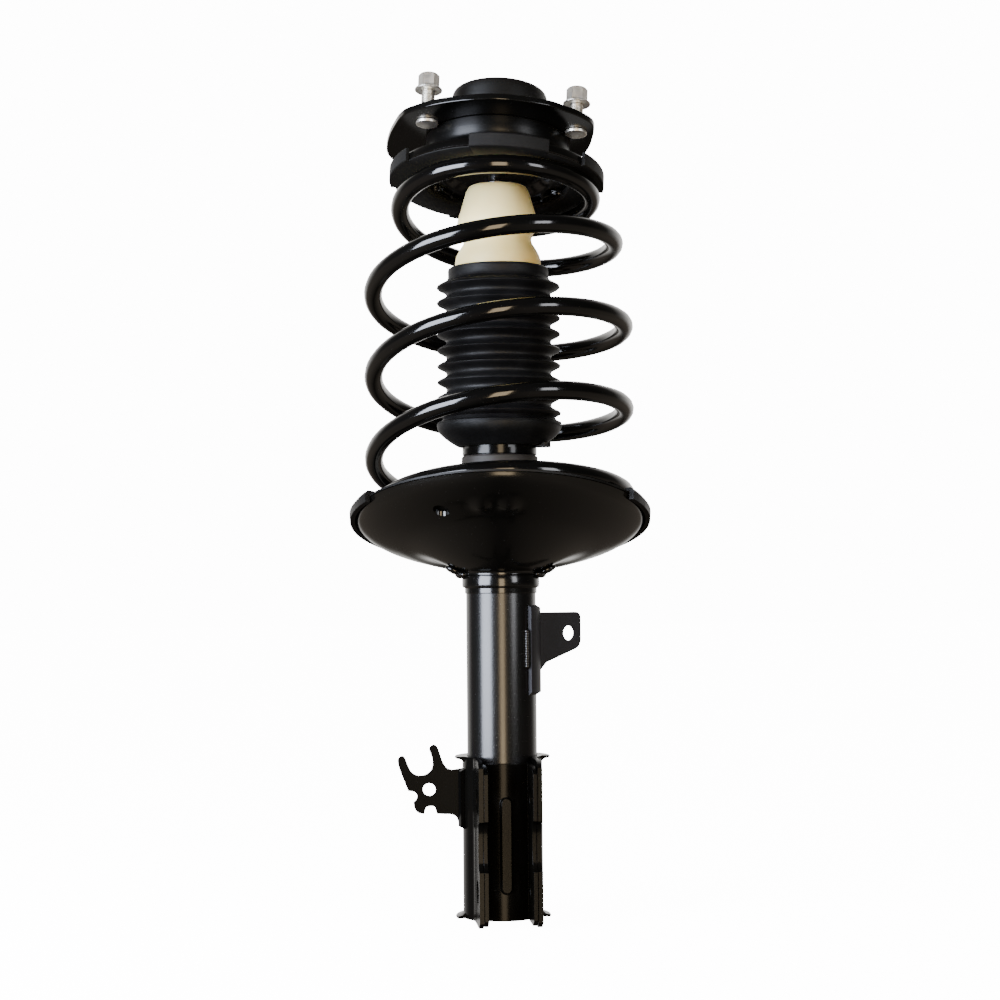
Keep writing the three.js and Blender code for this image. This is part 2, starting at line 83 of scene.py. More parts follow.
class Value:
    """A number socket that takes part in Python expressions."""

    def __init__(self, shader: "Shader", socket: bpy.types.NodeSocket) -> None:
        """Wraps one output socket.

        Args:
            shader: the shader that the socket is part of.
            socket: the output socket with the number.
        """
        self.shader = shader
        self.socket = socket

    def _maths(self, operation: str, first: object, second: object) -> "Value":
        """Adds one Math node."""
        node = self.shader.node("ShaderNodeMath", {"operation": operation}, {0: first, 1: second})
        return Value(self.shader, node.outputs[0])

    def __add__(self, other: object) -> "Value":
        """self + other."""
        return self._maths("ADD", self, other)

    __radd__ = __add__

    def __sub__(self, other: object) -> "Value":
        """self - other."""
        return self._maths("SUBTRACT", self, other)

    def __rsub__(self, other: object) -> "Value":
        """other - self."""
        return self._maths("SUBTRACT", other, self)

    def __mul__(self, other: object) -> "Value":
        """self * other."""
        return self._maths("MULTIPLY", self, other)

    __rmul__ = __mul__

    def __pow__(self, other: object) -> "Value":
        """self ** other."""
        return self._maths("POWER", self, other)


class Nodes:
    """A node tree that is filled from Python."""

    def __init__(self, owner: bpy.types.Material | bpy.types.World) -> None:
        """Empties the owner's tree.

        Args:
            owner: the material or world that the tree is part of.
        """
        owner.use_nodes = True
        self.tree = owner.node_tree
        self.tree.nodes.clear()

    def node(self, kind: str, settings: dict | None = None, sockets: dict | None = None) -> bpy.types.Node:
        """Adds a node.

        Args:
            kind: the node's type.
            settings: its properties, and under "stops" a ramp's stops.
            sockets: values or links for its inputs, by name or number.

        Returns:
            The new node.
        """
        made = self.tree.nodes.new(kind)
        for key, value in (settings or {}).items():
            if key == "stops":
                self._stops(made.color_ramp, value)
            else:
                setattr(made, key, value)
        for key, value in (sockets or {}).items():
            self.feed(made.inputs[key], value)
        return made

    @staticmethod
    def _stops(ramp: bpy.types.ColorRamp, stops: Sequence[tuple[float, Sequence[float]]]) -> None:
        """Gives a ramp its stops.

        Args:
            ramp: the ramp, with its two first stops.
            stops: the position and colour of each stop.
        """
        while len(ramp.elements) < len(stops):
            ramp.elements.new(1.0)
        for element, (position, colour) in zip(ramp.elements, stops):
            element.position = position
            element.color = (*colour, 1.0)

    def feed(self, socket: bpy.types.NodeSocket, value: object) -> None:
        """Links a value or a socket to an input, or sets its constant.

        Args:
            socket: the input.
            value: what goes in.
        """
        if isinstance(value, Value):
            value = value.socket
        if isinstance(value, bpy.types.NodeSocket):
            self.tree.links.new(value, socket)
        else:
            socket.default_value = value


class Shader(Nodes):
    """One material's node tree, with its output shader ready for a finish to feed."""

    def __init__(self, name: str) -> None:
        """Makes the material with a principled shader.

        Args:
            name: the material's name.
        """
        self.material = bpy.data.materials.new(name)
        super().__init__(self.material)
        self.surface = self.node("ShaderNodeBsdfPrincipled")
        self.node("ShaderNodeOutputMaterial", None, {"Surface": self.surface.outputs["BSDF"]})
        self.place = self.node("ShaderNodeTexCoord").outputs["Object"]

    def set(self, **sockets: object) -> None:
        """Feeds the principled shader; an underscore stands for a space."""
        for name, value in sockets.items():
            self.feed(self.surface.inputs[name.replace("_", " ")], value)

    def _mapped(self, stretch: Sequence[float]) -> bpy.types.NodeSocket:
        """The object's coordinates, stretched.

        Args:
            stretch: the scale on each axis.

        Returns:
            The coordinates' socket.
        """
        if tuple(stretch) == (1, 1, 1):
            return self.place
        return self.node("ShaderNodeMapping", None, {"Vector": self.place, "Scale": stretch}).outputs[0]

    def noise(self, size: float, detail: float = 2.0, stretch: Sequence[float] = (1, 1, 1)) -> Value:
        """Cloudy noise from 0 to 1.

        Args:
            size: the size of a cloud, in metres.
            detail: how many finer layers it has.
            stretch: the coordinates' scale on each axis.

        Returns:
            The noise's value.
        """
        node = self.node("ShaderNodeTexNoise", None, {
            "Vector": self._mapped(stretch), "Scale": 1 / size, "Detail": detail})
        return Value(self, node.outputs[0])

    def cells(self, size: float) -> Value:
        """Distance to the nearest cell's middle.

        Args:
            size: the size of a cell, in metres.

        Returns:
            The distance, from 0 up.
        """
        node = self.node("ShaderNodeTexVoronoi", None, {"Vector": self.place, "Scale": 1 / size})
        return Value(self, node.outputs["Distance"])

    def span(self, value: Value, low: float, high: float) -> Value:
        """The value's share between low and high, eased and kept within 0 and 1.

        Args:
            value: the value.
            low: where the share is 0.
            high: where it is 1.

        Returns:
            The share.
        """
        node = self.node("ShaderNodeMapRange", {"interpolation_type": "SMOOTHSTEP"}, {
            0: value, 1: low, 2: high, 3: 0.0, 4: 1.0})
        return Value(self, node.outputs[0])

    def axis(self, index: int) -> Value:
        """One of the object's coordinates, in metres."""
        return Value(self, self.node("ShaderNodeSeparateXYZ", None, {0: self.place}).outputs[index])

    def mix(self, share: Value, first: object, second: object) -> bpy.types.NodeSocket:
        """A mix of two colours.

        Args:
            share: 0 for the first, 1 for the second.
            first: a colour or a colour socket.
            second: the other one.

        Returns:
            The mixed colour's socket.
        """
        ends = [c if isinstance(c, bpy.types.NodeSocket) else (*c, 1.0) for c in (first, second)]
        node = self.node("ShaderNodeMix", {"data_type": "RGBA"}, {0: share, 6: ends[0], 7: ends[1]})
        return node.outputs[2]

    def relief(self, height: Value, depth: float,
               under: bpy.types.NodeSocket | None = None) -> bpy.types.NodeSocket:
        """A bump.

        Args:
            height: the relief, from 0 to 1.
            depth: what 1 stands for, in metres.
            under: the normal of another bump below this one.

        Returns:
            The normal's socket.
        """
        sockets = {"Height": height, "Distance": depth, "Strength": 1.0}
        if under is not None:
            sockets["Normal"] = under
        return self.node("ShaderNodeBump", None, sockets).outputs[0]


@dataclass(frozen=True)
class Finish:
    """A finish: the slot it belongs to, and how it is made."""

    slot: str
    colour: Colour
    roughness: float

    def mix(self, shader: Shader) -> None:
        """Feeds the shader. Each kind of finish has its own."""
        raise NotImplementedError


@dataclass(frozen=True)
class Paint(Finish):
    """Stoved black paint: slight orange peel, a little haze, and fine dust."""

    tint: Colour = (0.016, 0.0145, 0.013)
    sheen: float = 0.5
    peel: float = 0.000012
    haze: float = 0.06
    dust: float = 0.096
    dust_colour: Colour = (0.22, 0.21, 0.19)

    def mix(self, shader: Shader) -> None:
        """Haze in the gloss, a slow shift of tint, specks of dust and orange peel.

        Args:
            shader: the shader to feed.
        """
        slow = shader.noise(0.045, 3)
        specks = shader.span(shader.noise(0.0011, 2), 0.70, 0.80)
        base = shader.mix(slow, self.colour, self.tint)
        shader.set(
            Base_Color=shader.mix(specks * self.dust, base, self.dust_colour),
            Roughness=slow * self.haze + (self.roughness - self.haze / 2) + specks * 0.18,
            Specular_IOR_Level=self.sheen,
            Normal=shader.relief(shader.noise(0.0026, 1), self.peel),
        )


@dataclass(frozen=True)
class Rubber(Finish):
    """Moulded rubber: a fine grain, bloom in clouds, and a dry surface."""

    bloom: Colour = (0.05, 0.049, 0.049)
    grain: float = 0.00003
    dryness: float = 0.22

    def mix(self, shader: Shader) -> None:
        """Bloom lightens the colour in clouds, and the grain is in the normal.

        Args:
            shader: the shader to feed.
        """
        cloud = shader.span(shader.noise(0.018, 4), 0.38, 0.72)
        fine = shader.noise(0.0006, 3)
        shader.set(
            Base_Color=shader.mix(cloud * 0.7 + fine * 0.2, self.colour, self.bloom),
            Roughness=self.roughness + cloud * 0.12 - fine * 0.05,
            Specular_IOR_Level=self.dryness,
            Normal=shader.relief(fine, self.grain, shader.relief(shader.noise(0.004, 2), self.grain * 1.5)),
        )


@dataclass(frozen=True)
class Foam(Finish):
    """Microcellular urethane: cream with random amber clouds, painted shade in amber on one side, and fine closed
    cells.
    """

    # Amber for the random clouds, and for the painted shade on the +X, lower side.
    amber_tone_and_shade: Colour = (0.80, 0.56, 0.25)
    # Where the painted shade lies: it deepens towards +X, and below these heights.
    shade_side_x: Point = (-0.030, 0.034)
    shade_low_z: Point = (0.468, 0.534)
    depth: tuple[float, float, float] = (0.006, 0.0035, 0.0015)

    def mix(self, shader: Shader) -> None:
        """Random clouds of amber, painted shade in amber on the +X side's lower part, away from the main lamp, and
        cells in the normal.

        Args:
            shader: the shader to feed.
        """
        # Painted shade: the +X side's lower part turns darker amber; the clouds add random amber on top.
        side = shader.span(shader.axis(0), *self.shade_side_x)
        low = 1 - shader.span(shader.axis(2), *self.shade_low_z)
        cloud = shader.span(shader.noise(0.016, 3), 0.30, 0.75)
        share = side * low * 0.62 + cloud * 0.22
        cells = shader.cells(0.0009)
        shader.set(
            Base_Color=shader.mix(share, self.colour, self.amber_tone_and_shade),
            Roughness=self.roughness + cloud * 0.08,
            Subsurface_Weight=0.05,
            Subsurface_Radius=self.depth,
            Subsurface_Scale=1.0,
            Specular_IOR_Level=0.35,
            Normal=shader.relief(cells, 0.00002, shader.relief(shader.noise(0.006, 3), 0.00006)),
        )


@dataclass(frozen=True)
class Plating(Finish):
    """Bare or plated metal: mottled, with fine marks all round the axis."""

    dark: Colour = (0.30, 0.29, 0.27)
    mottle: float = 0.004
    marks: float = 0.000006
    mark_size: float = 0.0009
    metal: float = 1.0

    def mix(self, shader: Shader) -> None:
        """Mottling in colour and gloss, and turned marks in the normal.

        Args:
            shader: the shader to feed.
        """
        spots = shader.span(shader.noise(self.mottle, 4), 0.35, 0.72)
        lines = shader.noise(self.mark_size, 2, (0.06, 0.06, 1))
        shader.set(
            Base_Color=shader.mix(spots * 0.35 + lines * 0.12, self.colour, self.dark),
            Metallic=self.metal,
            Roughness=self.roughness + spots * 0.12 + lines * 0.05,
            Normal=shader.relief(lines, self.marks),
        )


class Finishes(Enum):
    """The strut's finishes."""

    SATIN = Paint("satin_black_paint", (0.0022, 0.0022, 0.0023), 0.24, (0.0034, 0.0031, 0.0027), haze=0.05)
    CAP = Paint("satin_black_paint", (0.0030, 0.0028, 0.0025), 0.46, (0.0052, 0.0044, 0.0034), 0.3, haze=0.10)
    COLLAR = Paint("satin_black_paint", (0.018, 0.0155, 0.0125), 0.62, (0.025, 0.021, 0.0165), haze=0.10)
    DRUM = Paint("satin_black_paint", (0.0012, 0.0012, 0.0012), 0.30, (0.0018, 0.0017, 0.0015), 0.16, haze=0.06)
    BRACKET = Paint("satin_black_paint", (0.0120, 0.0122, 0.0155), 0.52, (0.0140, 0.0142, 0.0175), 0.34, haze=0.08)
    FORK = Paint("satin_black_paint", (0.0014, 0.0014, 0.0013), 0.36, (0.0016, 0.0015, 0.0013), 0.035, haze=0.06)
    CLAMP = Paint("gloss_black_paint", (0.0016, 0.0016, 0.0015), 0.19, (0.0026, 0.0023, 0.0018), 0.09, haze=0.05)
    BAND = Paint("gloss_black_paint", (0.0016, 0.0016, 0.0018), 0.16, (0.0026, 0.0023, 0.0018), 0.22, haze=0.05)
    GLOSS = Paint("gloss_black_paint", (0.0015, 0.0015, 0.0014), 0.15, (0.0024, 0.0022, 0.0018), haze=0.05)
    WIRE = Paint("spring_coat", (0.0014, 0.0014, 0.0013), 0.105, (0.0024, 0.0022, 0.0020), peel=0.00001, haze=0.03)
    PAD = Rubber("black_rubber", (0.0018, 0.0018, 0.0017), 0.48, (0.0038, 0.0036, 0.0034))
    TAB = Rubber("black_rubber", (0.0040, 0.0039, 0.0037), 0.62, (0.0075, 0.0072, 0.0068))
    BOOT = Rubber("boot_rubber", (0.0026, 0.0026, 0.0028), 0.50, (0.0060, 0.0060, 0.0063))
    SEAL = Rubber("seal_rubber", (0.003, 0.0028, 0.0026), 0.5, (0.006, 0.006, 0.006))
    FOAM = Foam("cream_foam", (1.0, 0.86, 0.42), 0.42, (0.94, 0.64, 0.16))
    IRON = Plating("sintered_iron", (0.14, 0.135, 0.13), 0.52, (0.06, 0.058, 0.055), mottle=0.0009, metal=0.85)
    STEEL = Plating("bare_steel", (0.46, 0.46, 0.46), 0.26, (0.30, 0.30, 0.30))
    CHROME = Plating("hard_chrome", (0.62, 0.62, 0.63), 0.08, (0.5, 0.5, 0.5), marks=0.000001, mark_size=0.0004)
    ZINC = Plating("zinc_plate", (0.90, 0.88, 0.81), 0.34, (0.56, 0.53, 0.46), mottle=0.0025)

    def dress(self) -> bpy.types.Material:
        """Makes the finish's material once, and gives the same one afterwards.

        Returns:
            The material.
        """
        name = f"{self.value.slot}_{self.name.lower()}"
        known = bpy.data.materials.get(name)
        if known is not None:
            return known
        shader = Shader(name)
        self.value.mix(shader)
        return shader.material


# ---- meshes -------------------------------------------------------------------------------------------


def eased(points: Sequence[Point], steps: int = 4, closed: bool = False) -> list[Point]:
    """Rounds a line of points off with a smooth curve through all of them.

    Args:
        points: the points, in order.
        steps: how many pieces each stretch is cut into.
        closed: true if the last point leads back to the first.

    Returns:
        The finer line.
    """
    count = len(points)
    made: list[Point] = []
    for i in range(count if closed else count - 1):
        if closed:
            a, b, c, d = (points[(i + k - 1) % count] for k in range(4))
        else:
            a, b, c, d = (points[min(max(i + k - 1, 0), count - 1)] for k in range(4))
        for step in range(steps):
            t = step / steps
            made.append(tuple(
                0.5 * (2 * q + (r - p) * t + (2 * p - 5 * q + 4 * r - s) * t * t + (3 * q - p - 3 * r + s) * t ** 3)
                for p, q, r, s in zip(a, b, c, d)))
    if not closed:
        made.append(points[-1])
    return made


def polar(radius: float, degrees: float) -> Point:
    """The point at a radius and an angle."""
    return radius * math.cos(math.radians(degrees)), radius * math.sin(math.radians(degrees))


def arc(radius: float, start: float, end: float, steps: int = 16, centre: Point = (0.0, 0.0)) -> list[Point]:
    """Points along an arc.

    Args:
        radius: the arc's radius.
        start: its first angle, in degrees.
        end: its last angle, in degrees.
        steps: how many pieces it has.
        centre: its middle.

    Returns:
        The points, both ends included.
    """
    points = [polar(radius, start + (end - start) * i / steps) for i in range(steps + 1)]
    return [(centre[0] + x, centre[1] + y) for x, y in points]


def turn(degrees: float, axis: str = "Z") -> Matrix:
    """The matrix of a turn about an axis."""
    return Matrix.Rotation(math.radians(degrees), 4, axis)


def shift(x: float, y: float, z: float) -> Matrix:
    """The matrix of a move."""
    return Matrix.Translation((x, y, z))


def placed(name: str, data: bpy.types.ID) -> bpy.types.Object:
    """Puts a new object into the scene.

    Args:
        name: its name.
        data: its mesh, curve, light or camera.

    Returns:
        The object.
    """
    made = bpy.data.objects.new(name, data)
    bpy.context.scene.collection.objects.link(made)
    return made


def smoothstep(low: float, high: float, value: float) -> float:
    """An eased share of value between low and high."""
    share = min(1.0, max(0.0, (value - low) / (high - low)))
    return share * share * (3 - 2 * share)


class Blank:
    """A workpiece: a bmesh in millimetres that operators shape."""

    # A vertex holds its height only to about 0.0001 mm, so heights are compared within this.
    near = 1e-3

    def __init__(self) -> None:
        """Starts empty."""
        self.bm = bmesh.new()

    def loop(self, points: Iterable[Sequence[float]], open_axis: bool = False) -> list:
        """Adds a closed line.

        Args:
            points: its corners.
            open_axis: true to leave out edges that lie on the turning axis.

        Returns:
            Its vertices and its edges.
        """
        verts = [self.bm.verts.new(point) for point in points]
        edges = []
        for one, other in zip(verts, verts[1:] + verts[:1]):
            if open_axis and one.co.x == 0 and other.co.x == 0:
                continue
            edges.append(self.bm.edges.new((one, other)))
        return [verts, edges]

    def turned(self, profile: Sequence[Point], steps: int = 96, angle: float = 360.0) -> "Blank":
        """Turns a closed outline round Z.

        Args:
            profile: radius and height of each corner.
            steps: how many steps the turn has.
            angle: how far it turns, in degrees.

        Returns:
            This blank.
        """
        verts, edges = self.loop(((r, 0.0, z) for r, z in profile), open_axis=True)
        full = angle >= 360.0
        bmesh.ops.spin(self.bm, geom=verts + edges, axis=(0, 0, 1), cent=(0, 0, 0), dvec=(0, 0, 0),
                       angle=math.radians(angle), steps=steps, use_merge=full, use_duplicate=False)
        bmesh.ops.remove_doubles(self.bm, verts=self.bm.verts, dist=1e-4)
        if not full:
            bmesh.ops.holes_fill(self.bm, edges=[e for e in self.bm.edges if e.is_boundary])
        bmesh.ops.recalc_face_normals(self.bm, faces=self.bm.faces)
        return self

    def raised(self, loops: Sequence[Sequence[Point]], low: float, high: float) -> "Blank":
        """Raises a flat outline, with any holes in it, along Z.

        Args:
            loops: the outline, then its holes.
            low: the height it starts at.
            high: the height it ends at.

        Returns:
            This blank.
        """
        edges = []
        for loop in loops:
            edges += self.loop((x, y, low) for x, y in loop)[1]
        filled = bmesh.ops.triangle_fill(self.bm, use_beauty=True, use_dissolve=False, edges=edges)
        faces = [g for g in filled["geom"] if isinstance(g, bmesh.types.BMFace)]
        bmesh.ops.dissolve_limit(self.bm, angle_limit=0.01, verts=[],
                                 edges=list(dict.fromkeys(e for f in faces for e in f.edges)))
        faces = [f for f in self.bm.faces if all(abs(v.co.z - low) < self.near for v in f.verts)]
        grown = bmesh.ops.extrude_face_region(self.bm, geom=faces)["geom"]
        bmesh.ops.translate(self.bm, verts=[g for g in grown if isinstance(g, bmesh.types.BMVert)],
                            vec=(0, 0, high - low))
        bmesh.ops.recalc_face_normals(self.bm, faces=self.bm.faces)
        return self

    def rod(self, radius: float, low: float, high: float, steps: int = 48) -> "Blank":
        """A post on Z."""
        return self.turned([(0, low), (radius, low), (radius, high), (0, high)], steps)

    def ball(self, radii: Sequence[float], centre: Sequence[float]) -> "Blank":
        """A rounded lump, such as a drop of weld.

        Args:
            radii: its three radii.
            centre: its middle.

        Returns:
            This blank.
        """
        made = bmesh.ops.create_icosphere(self.bm, subdivisions=3, radius=1.0)["verts"]
        bmesh.ops.scale(self.bm, verts=made, vec=radii)
        bmesh.ops.translate(self.bm, verts=made, vec=centre)
        return self

    def moved(self, matrix: Matrix) -> "Blank":
        """Moves the whole blank."""
        bmesh.ops.transform(self.bm, matrix=matrix, verts=self.bm.verts)
        return self

    def shaped(self, move: Callable[[Vector], Vector]) -> "Blank":
        """Moves each vertex by itself.

        Args:
            move: gives a vertex's new place.

        Returns:
            This blank.
        """
        for vert in self.bm.verts:
            vert.co = move(vert.co)
        return self

    def added(self, *others: "Blank") -> "Blank":
        """Takes other blanks in as they are.

        Args:
            others: the blanks.

        Returns:
            This blank.
        """
        for other in others:
            mesh = bpy.data.meshes.new("part")
            other.bm.to_mesh(mesh)
            self.bm.from_mesh(mesh)
            bpy.data.meshes.remove(mesh)
        return self

    def _bench(self) -> bpy.types.Object:
        """Makes a passing object of this blank.

        Returns:
            The object.
        """
        mesh = bpy.data.meshes.new("bench")
        self.bm.to_mesh(mesh)
        return placed("bench", mesh)

    def _against(self, tool: "Blank", operation: str) -> None:
        """Cuts or joins this blank with a tool, by a Boolean modifier that is applied at once.

        Args:
            tool: the other blank.
            operation: the modifier's operation.
        """
        work, cutter = self._bench(), tool._bench()
        modifier = work.modifiers.new("tool", "BOOLEAN")
        modifier.operation = operation
        modifier.solver = "EXACT"
        modifier.object = cutter
        graph = bpy.context.evaluated_depsgraph_get()
        mesh = bpy.data.meshes.new_from_object(work.evaluated_get(graph))
        self.bm.clear()
        self.bm.from_mesh(mesh)
        for passing in (work, cutter):
            scrap = passing.data
            bpy.data.objects.remove(passing)
            bpy.data.meshes.remove(scrap)
        bpy.data.meshes.remove(mesh)

    def cut(self, *tools: "Blank") -> "Blank":
        """Takes tools' shapes away.

        Args:
            tools: the blanks to cut with.

        Returns:
            This blank.
        """
        for tool in tools:
            self._against(tool, "DIFFERENCE")
        return self

    def joined(self, *tools: "Blank") -> "Blank":
        """Joins tools' shapes into one body with this one.

        Args:
            tools: the blanks to join.

        Returns:
            This blank.
        """
        for tool in tools:
            self._against(tool, "UNION")
        return self

    def kept(self, tool: "Blank") -> "Blank":
        """Keeps what lies inside the tool."""
        self._against(tool, "INTERSECT")
        return self


@dataclass
class Piece:
    """One finished piece: a mesh with its finish, the body it rides on, and the CAD nodes it stands for."""

    name: str
    body: str
    finish: Finishes
    nodes: tuple[str, ...]
    edge: float = 0.35
    crease: float = 32.0

    def make(self, blank: Blank, place: Matrix | None = None) -> bpy.types.Object:
        """Turns a blank into the piece.

        Args:
            blank: the workpiece, in millimetres.
            place: where it goes, in millimetres.

        Returns:
            The piece's object, at the origin, with its place in its mesh.
        """
        if place is not None:
            blank.moved(place)
        blank.moved(Matrix.Scale(MM, 4))
        mesh = bpy.data.meshes.new(self.name)
        for face in blank.bm.faces:
            face.smooth = True
        blank.bm.to_mesh(mesh)
        blank.bm.free()
        mesh.set_sharp_from_angle(angle=math.radians(self.crease))
        made = placed(self.name, mesh)
        if self.edge > 0:
            bevel = made.modifiers.new("edge", "BEVEL")
            bevel.width = self.edge * MM
            bevel.segments = 2
            bevel.limit_method = "ANGLE"
            bevel.angle_limit = math.radians(self.crease)
            bevel.harden_normals = True
        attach(made, self.body)
        return self.settle(made)

    def settle(self, made: bpy.types.Object) -> bpy.types.Object:
        """Gives an object its material, slot and nodes, and reports it.

        Args:
            made: the object; one that comes from make already follows its body.

        Returns:
            The same object.
        """
        made.data.materials.append(self.finish.dress())
        if self.nodes:
            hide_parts(*self.nodes)
        LOG.info("%s rides on %s", self.name, self.body)
        return made


# ---- damper -------------------------------------------------------------------------------------------


@dataclass
class Damper:
    """The tube with its cap, base, valve, guide and seal, and the rod with its piston."""

    tube_r: float = 25.4
    wall: float = 2.4
    top: float = 344.4
    rod_r: float = 11.0
    thread_r: float = 7.0
    shoulder: float = 536.0
    rod_top: float = 592.0
    gap: float = 0.3
    drain_slots: tuple[float, ...] = (-70, -62, -54, 20, 28, 110, 118, 200, 208)
    steps: int = 128

    def build(self) -> None:
        """Makes every piece of the damper."""
        self._tube()
        self._inside()
        self._cap()
        self._rod()

    def _tube(self) -> None:
        """The outer tube, with its top edge rolled over the seal, and the cap pressed into its foot."""
        bore = self.tube_r - self.wall
        roll = arc(1.4, 0, 90, 6, (self.tube_r - 1.4, self.top - 1.4))
        profile = [(bore, 0), (self.tube_r, 0), *roll,
                   (bore - 4, self.top), (bore - 4, self.top - 2.4), (bore, self.top - 2.4)]
        Piece("damper_tube", "body", Finishes.SATIN, ("outer_tube",)).make(Blank().turned(profile, self.steps))
        base = [(0, 1.6), (9, 1.6), (12, 0), (bore - self.gap, 0), (bore - self.gap, 6), (0, 6)]
        Piece("tube_base", "body", Finishes.SATIN, ("base_cap",)).make(Blank().turned(base, self.steps))

    def _inside(self) -> None:
        """What the tube holds."""
        bore, guide = self.tube_r - self.wall - self.gap, 320.0
        inner, outer = 16.0, 17.6
        seal_z = 334.0
        parts = [
            ("foot_valve", Finishes.IRON, "base_valve", [
                (0, 6.3), (outer, 6.3), (outer, 14), (inner - 0.3, 14), (inner - 0.3, 22.5), (13, 24), (6, 24),
                (5, 21), (0, 21)]),
            ("working_cylinder", Finishes.STEEL, "pressure_tube", [
                (inner, 14.3), (outer, 14.3), (outer, guide), (inner, guide)]),
            ("rod_bush", Finishes.IRON, "rod_guide", [
                (self.rod_r + 0.3, guide - 6), (inner - 0.3, guide - 6), (inner - 0.3, guide + 0.3),
                (bore, guide + 0.3), (bore, seal_z), (self.rod_r + 0.3, seal_z)]),
            ("lip_seal", Finishes.SEAL, "rod_seal", [
                (self.rod_r + 0.3, seal_z + 0.3), (bore, seal_z + 0.3), (bore, self.top - 2.7),
                (14, self.top - 2.7), (12.5, self.top - 4), (self.rod_r + 0.3, self.top - 2.7)]),
        ]
        for name, finish, node, profile in parts:
            Piece(name, "body", finish, (node,)).make(Blank().turned(profile, 64))

    def _cap(self) -> None:
        """The striker cap: a glossy upper band with drain slots over a plain collar."""
        inside = self.tube_r + self.gap
        shell = Blank().turned([
            (inside, 334.2), (26.6, 334.2), (27.2, 334.8), (27.2, 345.4), (25.6, 347.3), (13.5, 347.3),
            (13.5, 344.8), (inside, 344.8)], self.steps)
        collar = Blank().turned([(inside, 322), (27.4, 322), (27.9, 322.5), (27.9, 332.8), (27.0, 333.9),
                                 (inside, 333.9)], self.steps)
        slots = []
        for azimuth in self.drain_slots:
            slot = Blank().raised([[(-1.1, -3.2), (1.1, -3.2), (1.1, 3.2), (-1.1, 3.2)]], 26.6, 32)
            slots.append(slot.moved(shift(0, 0, 340) @ (turn(azimuth) @ turn(90, "Y"))))
        Piece("bump_cap", "body", Finishes.BAND, ("striker_cap",)).make(shell.cut(*slots))
        Piece("bump_collar", "body", Finishes.COLLAR, ("striker_cap",)).make(collar)

    def _rod(self) -> None:
        """The chromed rod, its threads, and what is fixed on it inside the tube."""
        rod = Blank().turned([
            (0, 277), (5.4, 277), (6, 277.6), (6, 300), (self.rod_r, 300), (self.rod_r, self.shoulder - 1),
            (self.rod_r - 1, self.shoulder), (self.thread_r - 0.5, self.shoulder), (self.thread_r - 0.5, 591),
            (self.thread_r - 1.4, self.rod_top), (0, self.rod_top)], 64)
        rod.added(thread(self.thread_r - 0.5, 0.5, 1.25, 577.5, 590.5))
        Piece("chromed_rod", "rod", Finishes.CHROME, ("piston_rod",)).make(rod)
        parts = [
            ("piston_body", Finishes.IRON, "piston", [
                (6.3, 284), (12, 284), (12.6, 285), (14.4, 284), (15, 284), (15, 287), (13.5, 287), (13.5, 296.7),
                (15, 296.7), (15, 299.7), (6.3, 299.7)]),
            ("piston_ring", Finishes.SEAL, "piston_band", [
                (13.8, 287.3), (15.7, 287.3), (15.7, 296.4), (13.8, 296.4)]),
            ("rebound_cushion", Finishes.SEAL, "rebound_stop", [
                (11.3, 302), (14, 302), (15, 304), (15, 311.4), (14, 313.4), (11.3, 313.4)]),
        ]
        for name, finish, node, profile in parts:
            Piece(name, "rod", finish, (node,)).make(Blank().turned(profile, 64))
        nut = hexagon(9.2, 278, 283.7).cut(Blank().rod(6.3, 270, 290))
        Piece("piston_locknut", "rod", Finishes.STEEL, ("piston_nut",)).make(nut)


def hexagon(radius: float, low: float, high: float, chamfer: float = 0.8) -> Blank:
    """A six-sided post with its corners turned off at both ends.

    Args:
        radius: its radius over the corners.
        low: the height of its underside.
        high: the height of its top.
        chamfer: how much of the corners is turned off.

    Returns:
        The blank.
    """
    body = Blank().raised([arc(radius, 0, 300, 5)], low, high)
    cone = [(0, low), (radius - chamfer, low), (radius + 0.2, low + chamfer * 0.7),
            (radius + 0.2, high - chamfer * 0.7), (radius - chamfer, high), (0, high)]
    return body.kept(Blank().turned(cone, 60))


def thread(core: float, depth: float, pitch: float, low: float, high: float, steps: int = 20) -> Blank:
    """A helical ridge round Z, for a screw thread.

    Args:
        core: the radius at the ridge's foot.
        depth: its height.
        pitch: its rise in a turn.
        low: the height it starts at.
        high: the height it ends at.
        steps: how many steps each turn has.

    Returns:
        The blank, a closed ridge.
    """
    made = Blank()
    turns = (high - low) / pitch - 1
    section = [(core - 0.2, 0, low), (core + depth, 0, low + pitch * 0.42),
               (core + depth, 0, low + pitch * 0.54), (core - 0.2, 0, low + pitch * 0.96)]
    verts, edges = made.loop(section)
    count = round(turns * steps)
    bmesh.ops.spin(made.bm, geom=verts + edges, axis=(0, 0, 1), cent=(0, 0, 0),
                   dvec=(0, 0, pitch / steps), angle=TURN * turns, steps=count, use_merge=False, use_duplicate=False)
    bmesh.ops.holes_fill(made.bm, edges=[e for e in made.bm.edges if e.is_boundary])
    bmesh.ops.recalc_face_normals(made.bm, faces=made.bm.faces)
    return made


# ---- clamp and brackets -------------------------------------------------------------------------------


